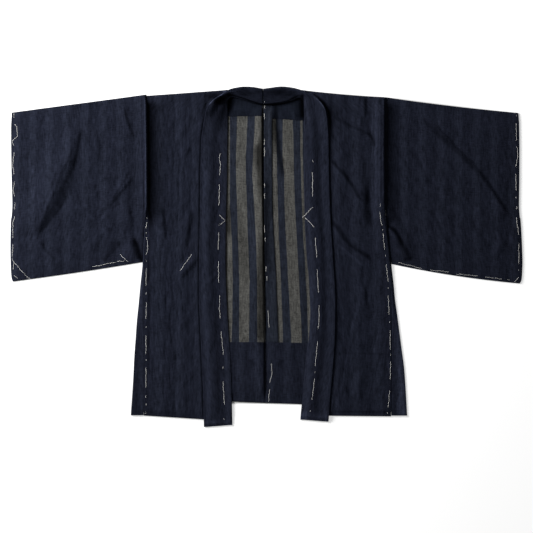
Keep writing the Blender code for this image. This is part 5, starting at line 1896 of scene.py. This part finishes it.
# ---------------------------------------------------------------- basting
BASTING_LINES: dict[str, tuple[Path, ...]] = {
    "right_cuff": (
        ((-656.5, 373.4), (-656.5, 360.4)),
        ((-656.5, 344.8), (-648.7, 337), (-647.4, 313.6), (-660.4, 298), (-656.5, 287.6)),
        ((-655.2, 272), (-659.1, 238.2), (-655.2, 212.2)),
        ((-653.9, 196.6), (-657.8, 173.2), (-653.9, 155)), ((-653.9, 142), (-653.9, 121.2)),
        ((-653.9, 105.6), (-659.1, 82.2), (-659.1, 45.8)), ((-659.1, 32.8), (-660.4, -3.6)),
        ((-661.7, -3.6), (-653.9, -19.2)), ((-656.5, -14), (-657.8, -34.8)),
        ((-653.9, -16.6), (-617.5, -55.6), (-612.3, -58.2)), ((-656.5, -47.8), (-646.1, -58.2)),
    ),
    "right_sleeve_bottom": (
        ((-453.7, -27), (-391.3, -14)), ((-388.7, -12.7), (-367.9, -11.4)), ((-380.9, 6.8), (-360.1, -14)),
    ),
    "right_side_seam": (
        ((-310.7, 103), (-310.7, 97.8)), ((-310.7, 90), (-313.3, 71.8)), ((-312, 64), (-312, 58.8)),
        ((-312, 51), (-308.1, 25), (-313.3, 4.2)), ((-312, -8.8), (-312, -14)),
        ((-312, -29.6), (-313.3, -76.4)), ((-313.3, -92), (-313.3, -99.8)),
        ((-312, -118), (-313.3, -162.2)), ((-312, -180.4), (-312, -185.6)),
        ((-313.3, -203.8), (-312.8, -253.2)), ((-312, -266.2), (-312, -271.4)),
        ((-312.8, -287), (-313.3, -341.6)), ((-313.3, -359.8), (-313.3, -367.6)),
        ((-312.8, -380.6), (-312.8, -388.4)), ((-313.8, -404), (-313.8, -409.2)),
    ),
    "loose": (
        ((-193.7, 6.8), (-224.9, -37.4)),
    ),
    "right_collar": (
        ((-119.6, 269.4), (-122.2, 251.2), (-119.6, 238.2), (-122.2, 209.6)),
        ((-122.2, 188.8), (-123.5, 131.6)), ((-123.5, 108.2), (-106.6, 93.9)),
        ((-106.6, 93.9), (-124.8, 79.6)), ((-123.5, 64), (-126.1, 17.2)),
        ((-124.8, -11.4), (-124.3, -68.6)), ((-121.4, -99.8), (-122.2, -133.6), (-119.6, -162.2)),
        ((-118.3, -193.4), (-111.8, -255.8)), ((-113.1, -284.4), (-113.1, -292.2)),
        ((-113.1, -323.4), (-109.2, -385.8)), ((-110.5, -419.6), (-110.2, -424.8)),
    ),
    "centre_back": (
        ((-4.7, 404.6), (-4.7, 399.4)), ((-4.7, 394.2), (-3.9, 383.8)), ((-5.2, 373.4), (-5.2, 355.2)),
        ((-5.2, 305.8), (-5.2, 290.2)), ((-5.2, 285), (-5.2, 259)), ((-5.2, 191.4), (-5.2, 178.4)),
        ((-4.7, 165.4), (-4.7, 149.8)), ((-5.2, 82.2), (-5.2, 61.4)), ((-3.1, 51), (-3.1, 38)),
        ((-1.3, -24.4), (-1.3, -40)), ((1.3, -50.4), (1.3, -63.4)), ((3.9, -138.8), (6.5, -185.6)),
        ((11.7, -276.6), (14.3, -300), (7.8, -328.6)), ((7.8, -344.2), (5.2, -378)),
    ),
    "left_collar": (
        ((119.6, 251.2), (122.2, 243.4)), ((119.6, 220), (119.6, 155)), ((120.9, 129), (92.3, 100.4)),
        ((98.8, 103), (124.8, 75.7)), ((126.1, 51), (130.8, -3.6)), ((131.3, -32.2), (135.2, -94.6)),
        ((136.5, -125.8), (136.5, -159.6), (133.9, -188.2)), ((132.6, -219.4), (126.1, -284.4)),
        ((126.1, -297.4), (126.1, -302.6)), ((124.8, -315.6), (118.3, -372.8)),
        ((113.1, -398.8), (113.1, -404)),
    ),
    "left_side_seam": (
        ((295.1, 136.8), (295.1, 129)), ((293.8, 116), (296.4, 95.2), (300.3, 79.6)),
        ((301.6, 71.8), (301.9, 66.6)), ((302.4, 61.4), (306.8, 17.2)), ((309.4, 4.2), (309.4, -1)),
        ((310.7, -19.2), (315.9, -66)), ((315.9, -79), (315.9, -84.2)), ((315.9, -99.8), (318.5, -151.8)),
        ((319.8, -167.4), (319.8, -172.6)), ((321.1, -190.8), (321.1, -242.8)),
        ((322.4, -253.2), (322.4, -258.4)), ((322.4, -271.4), (321.1, -320.8)),
        ((319.8, -326), (319.8, -328.6)), ((319.8, -333.8), (319.8, -336.4)),
        ((319.8, -346.8), (315.9, -393.6)), ((314.6, -404), (314.3, -409.2)),
    ),
    "left_sleeve_bottom": (
        ((341.9, -15.3), (378.3, -24.4), (404.3, -30.9)), ((425.1, -34.8), (474.5, -40)),
        ((492.7, -45.2), (549.9, -50.4)), ((568.1, -53), (612.3, -58.2)), ((625.3, -59.5), (633.1, -60.8)),
        ((643.5, -66), (656.5, -53)),
    ),
    "left_cuff": (
        ((648.7, 368.2), (648.7, 363)), ((648.7, 347.4), (648.7, 300.6)),
        ((650, 287.6), (652.6, 264.2), (647.4, 233)), ((647.4, 217.4), (648.7, 170.6)),
        ((648.7, 157.6), (648.7, 149.8)), ((650, 131.6), (650, 121.2)), ((648.7, 103), (655.2, 56.2)),
        ((655.7, 35.4), (655.7, -19.2)), ((655.2, -32.2), (655.2, -37.4)),
    ),
}


@dataclass
class Basting:
    """Long tacking stitches of loose two-ply thread, laid along the cloth's upper side."""

    name: str
    lines: tuple[Path, ...]
    seed: int
    radius: float = 0.19  # of each ply
    ply_middle: float = 0.8  # distance of a ply's middle from the thread's, for each radius
    pace: float = 0.55  # between rings
    twist: float = 3.6  # length of one turn of the plies
    sides: int = 6
    waves: Span = (18.0, 34.0)  # shortest and longest wave in which the thread wanders
    wander: Span = (0.45, 0.22) # how far it does so, in its long and in its short wave
    short_wave: float = 0.37  # length of the short wave, for each long one
    held: float = 4.0  # distance from its ends over which its wandering dies away
    stiff: float = 1.5  # distance over which it bridges dips in the cloth
    dip: float = 1.2  # how far its ends sink into the cloth
    dip_length: float = 1.8
    slack: float = 0.5  # how far it may stand off the cloth halfway
    slack_full: float = 40.0  # length of a stitch that is as slack as that

    def build(self, cloth: BVHTree, yarn: Material) -> Object:
        """Args:
            cloth: the dressed pieces that it lies on, in metres.
            yarn: its material.

        Returns:
            The finished object.
        """
        chance = np.random.default_rng(self.seed)
        points, faces = [], []
        for line in self.lines:
            path = self.laid(np.array(line, float), cloth, chance)
            for ply in (0.0, math.pi):
                self.tube(path, ply, points, faces)
        mesh = bpy.data.meshes.new(self.name)
        mesh.from_pydata((np.concatenate(points) * MM).tolist(), [], faces)
        mesh.materials.append(yarn)
        mesh.shade_smooth()
        thread = bpy.data.objects.new(self.name, mesh)
        bpy.context.scene.collection.objects.link(thread)
        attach(thread, "root")
        log.info("%s: %d faces", self.name, len(mesh.polygons))
        return thread

    def laid(self, line: Grid, cloth: BVHTree, chance: np.random.Generator) -> Grid:
        """One stitch's middle line, resting on the cloth and dipping into it at both ends.

        Args:
            line: x and y of the stitch's bends.
            cloth: what it lies on.
            chance: where its wandering is drawn from.

        Returns:
            Points along the stitch.
        """
        passed = passed_along(line)
        length = passed[-1]
        s = np.linspace(0.0, length, max(6, round(length / self.pace)))
        smooth = np.stack([Track(tuple(zip(passed, line[:, k]))).at(s) if len(line) > 2
                           else np.interp(s, passed, line[:, k]) for k in range(2)], axis=1)
        across = unit(np.gradient(smooth, axis=0)[:, ::-1] * (1.0, -1.0))
        wave = chance.uniform(*self.waves)
        wander = sum(far * np.sin(2 * np.pi * s / (wave * share) + chance.uniform(0, 6.28))
                     for far, share in zip(self.wander, (1.0, self.short_wave)))
        held = smooth_step(0.0, self.held, s) * smooth_step(0.0, self.held, length - s)
        smooth += across * (wander * held)[:, None]
        heights = []
        for x, y in smooth:
            found = cloth.ray_cast(Vector((x * MM, y * MM, 0.05)), Vector((0, 0, -1)))[0]
            heights.append(found.z / MM if found is not None else CLOTH)
        top = np.array(heights)
        reach = max(1, round(self.stiff / self.pace))
        window = 2 * reach + 1
        crest = np.max([np.roll(top, k) for k in range(-reach, reach + 1)], axis=0)
        crest[:reach], crest[-reach:] = top[:reach], top[-reach:]
        crest = np.convolve(np.pad(crest, reach, mode="edge"), np.full(window, 1 / window), "valid")
        ends = smooth_step(0.0, self.dip_length, s) * smooth_step(0.0, self.dip_length, length - s)
        slack = self.slack * np.sin(np.pi * s / length) * min(1.0, length / self.slack_full)
        height = crest + self.radius * 1.3 - self.dip * (1 - ends) + slack * chance.uniform(0.0, 0.7)
        return np.column_stack([smooth, height])

    def tube(self, path: Grid, turn: float, points: list[Grid], faces: list[tuple[int, ...]]) -> None:
        """Add one ply, wound round the thread's middle line.

        Args:
            path: points of the middle line.
            turn: angle at which the ply starts.
            points: blocks of points, which gain this ply's.
            faces: faces, which gain this ply's.
        """
        tangent = unit(np.gradient(path, axis=0))
        side = unit(np.cross(tangent, (0.0, 0.0, 1.0)))
        up = np.cross(side, tangent)
        wound = (2 * np.pi * passed_along(path) / self.twist + turn)[:, None]
        middle = path + self.radius * self.ply_middle * (side * np.cos(wound) + up * np.sin(wound))
        angle = (2 * np.pi * np.arange(self.sides) / self.sides)[None, :, None]
        ring = middle[:, None] + self.radius * (side[:, None] * np.cos(angle) + up[:, None] * np.sin(angle))
        first = sum(len(block) for block in points)
        index = first + np.arange(len(path) * self.sides).reshape(len(path), self.sides)
        after = np.roll(index, -1, axis=1)
        quads = np.stack([index[:-1], after[:-1], after[1:], index[1:]], axis=2).reshape(-1, 4)
        faces += [tuple(quad) for quad in quads.tolist()]
        faces += [tuple(index[0, ::-1].tolist()), tuple(index[-1].tolist())]
        points.append(ring.reshape(-1, 3))


# ---------------------------------------------------------------- table, light and camera
@dataclass
class Studio:
    """A table, grey but glowing white round the garment, under soft light from the upper left, seen from
    straight above.
    """

    table_colours: tuple[Colour, Colour] = ((0.46, 0.46, 0.46), (0.48, 0.48, 0.48))
    glow: float = 0.52  # painted light: the table glows round the garment out to its edges, which lightens the garment's shadows on the table
    lamp_place: Place = (-2.65, 1.5, 1.35)
    camera_place: Place = (0.0, -0.0257, 5.0)
    lens: float = 129.9

    def glowing(self, graph: Graph, place: Socket) -> Socket:
        """Share of the table's glow: 1 outside the straight lines round the garment, 0 inside them.

        Args:
            graph: graph of the table's material.
            place: place on the table, in metres.

        Returns:
            The share.
        """
        x, y, _ = graph.add("SeparateXYZ", {0: place}).outputs
        wide = graph.maths("ABSOLUTE", x)

        def past(across: float, along: float, start: float, end: float) -> Socket:
            """1 past a straight line on the table, 0 before it."""
            return graph.ramp(graph.maths("MULTIPLY_ADD", wide, across, graph.times(y, along)), start, end)

        below_sleeves = graph.maths("MINIMUM", past(0.148, 1, 0.036, 0.031), past(1, 0.08, 0.3185, 0.3235))
        between_collars = graph.maths("MINIMUM", past(0, 1, -0.3795, -0.386), past(1, 0, 0.100, 0.086))
        lit = graph.maths("MAXIMUM", below_sleeves, between_collars)
        for line in ((0.08, 1, 0.4355, 0.4415), (0.13, 1, 0.4525, 0.4595), (1, 0, 0.650, 0.660),
                     (0, 1, -0.402, -0.4085)):  # shoulders, sleeve tops, cuffs, front hems
            lit = graph.maths("MAXIMUM", lit, past(*line))
        return lit

    def table(self) -> None:
        """Lay the table's top."""
        material, graph, shader = new_material("table_paint_and_glow")
        place = graph.add("TexCoord").outputs["Object"]
        graph.fill(shader, {
            "Base Color": graph.mixed(graph.noise(place, 3.0), *self.table_colours),
            "Roughness": 0.85,
            "Specular IOR Level": 0.2,
            "Emission Color": self.glowing(graph, place),
            "Emission Strength": self.glow})
        bpy.ops.mesh.primitive_plane_add(size=24.0, location=(0.0, 0.0, -0.0002))
        top = bpy.context.object
        top.name = "table_top"
        top.data.materials.append(material)

    def light(self) -> None:
        """Soft daylight all round, and a broad lamp to the upper left."""
        world = bpy.data.worlds.new("daylight")
        bpy.context.scene.world = world
        world.use_nodes = True
        sky = world.node_tree.nodes["Background"]
        sky.inputs["Color"].default_value = (0.97, 0.985, 1.0, 1.0)
        sky.inputs["Strength"].default_value = 0.27
        lamp = bpy.data.lights.new("window", "AREA")
        lamp.shape = "RECTANGLE"
        lamp.size = lamp.size_y = 1.3
        lamp.energy = 365.0
        lamp.color = (1.0, 0.995, 0.985)
        window = bpy.data.objects.new("window", lamp)
        window.location = self.lamp_place
        window.rotation_euler = (-window.location).to_track_quat("-Z", "Y").to_euler()
        bpy.context.scene.collection.objects.link(window)

    def camera(self) -> None:
        """The camera, level above the table."""
        data = bpy.data.cameras.new("overhead")
        data.sensor_width = 36.0
        data.lens = self.lens
        data.clip_end = 100.0
        camera = bpy.data.objects.new("overhead", data)
        camera.location = self.camera_place
        bpy.context.scene.collection.objects.link(camera)
        bpy.context.scene.camera = camera
        bpy.context.scene.view_settings.view_transform = "Standard"

    def build(self) -> None:
        """Lay the table, and place the light and the camera."""
        self.table()
        self.light()
        self.camera()


def cloth_tree(pieces: list[Object]) -> BVHTree:
    """A search tree over the faces of all the dressed pieces.

    Args:
        pieces: the dressed pieces.

    Returns:
        The tree, in metres.
    """
    points, faces = [], []
    for piece in pieces:
        first = len(points)
        points += [vertex.co.copy() for vertex in piece.data.vertices]
        faces += [tuple(first + k for k in polygon.vertices) for polygon in piece.data.polygons]
    return BVHTree.FromPolygons(points, faces)


def declare(pieces: dict[str, Object]) -> None:
    """Go through the cut size, area and rest of every sheet, and look up each rest; nothing is stored.

    Args:
        pieces: the dressed pieces by name.
    """
    table = ["table_top"]
    for name, flat, area, rests in (
            ("body_right", (0.32, 1.93), 0.520, table), ("body_left", (0.32, 1.93), 0.530, table),
            ("sleeve_right", (0.345, 0.88), None, table), ("sleeve_left", (0.345, 0.88), None, table),
            ("gusset_right", (0.067, 0.443), 0.0148, table), ("gusset_left", (0.083, 0.443), 0.0184, table),
            ("collar_right", (0.070, 0.92), None, ["body_right"]),
            ("collar_left", (0.070, 0.92), None, ["body_left"]),
            ("yoke_lining_right", (0.153, 0.056), 0.0070, ["body_right"]),
            ("yoke_lining_left", (0.151, 0.065), 0.0084, ["body_left"]),
            ("centre_back_binding", (0.028, 0.617), 0.0155, ["body_left"])):
        [pieces.get(r, r) for r in rests]


def main() -> None:
    """Build every piece in order, then the table and the light."""
    logging.basicConfig(level=logging.INFO, format="%(message)s")
    pieces = {}
    for half in (RIGHT, LEFT):
        for kind, piece in (("body", BodyHalf(half, OUTER)), ("sleeve", Sleeve(half, OUTER)),
                            ("gusset", Gusset(half, OUTER)), ("collar", Collar(half, OUTER)),
                            ("yoke_lining", YokeLining(half, LINING))):
            pieces[f"{kind}_{half.name}"] = piece.build()
    pieces["centre_back_binding"] = Binding(TAPE).build()
    tree = cloth_tree(list(pieces.values()))
    yarn = BASTING.material()
    for number, (name, lines) in enumerate(BASTING_LINES.items()):
        Basting("basting_" + name, lines, 200 + number).build(tree, yarn)
    declare(pieces)
    Studio().build()


if __name__ == "__main__":
    main()
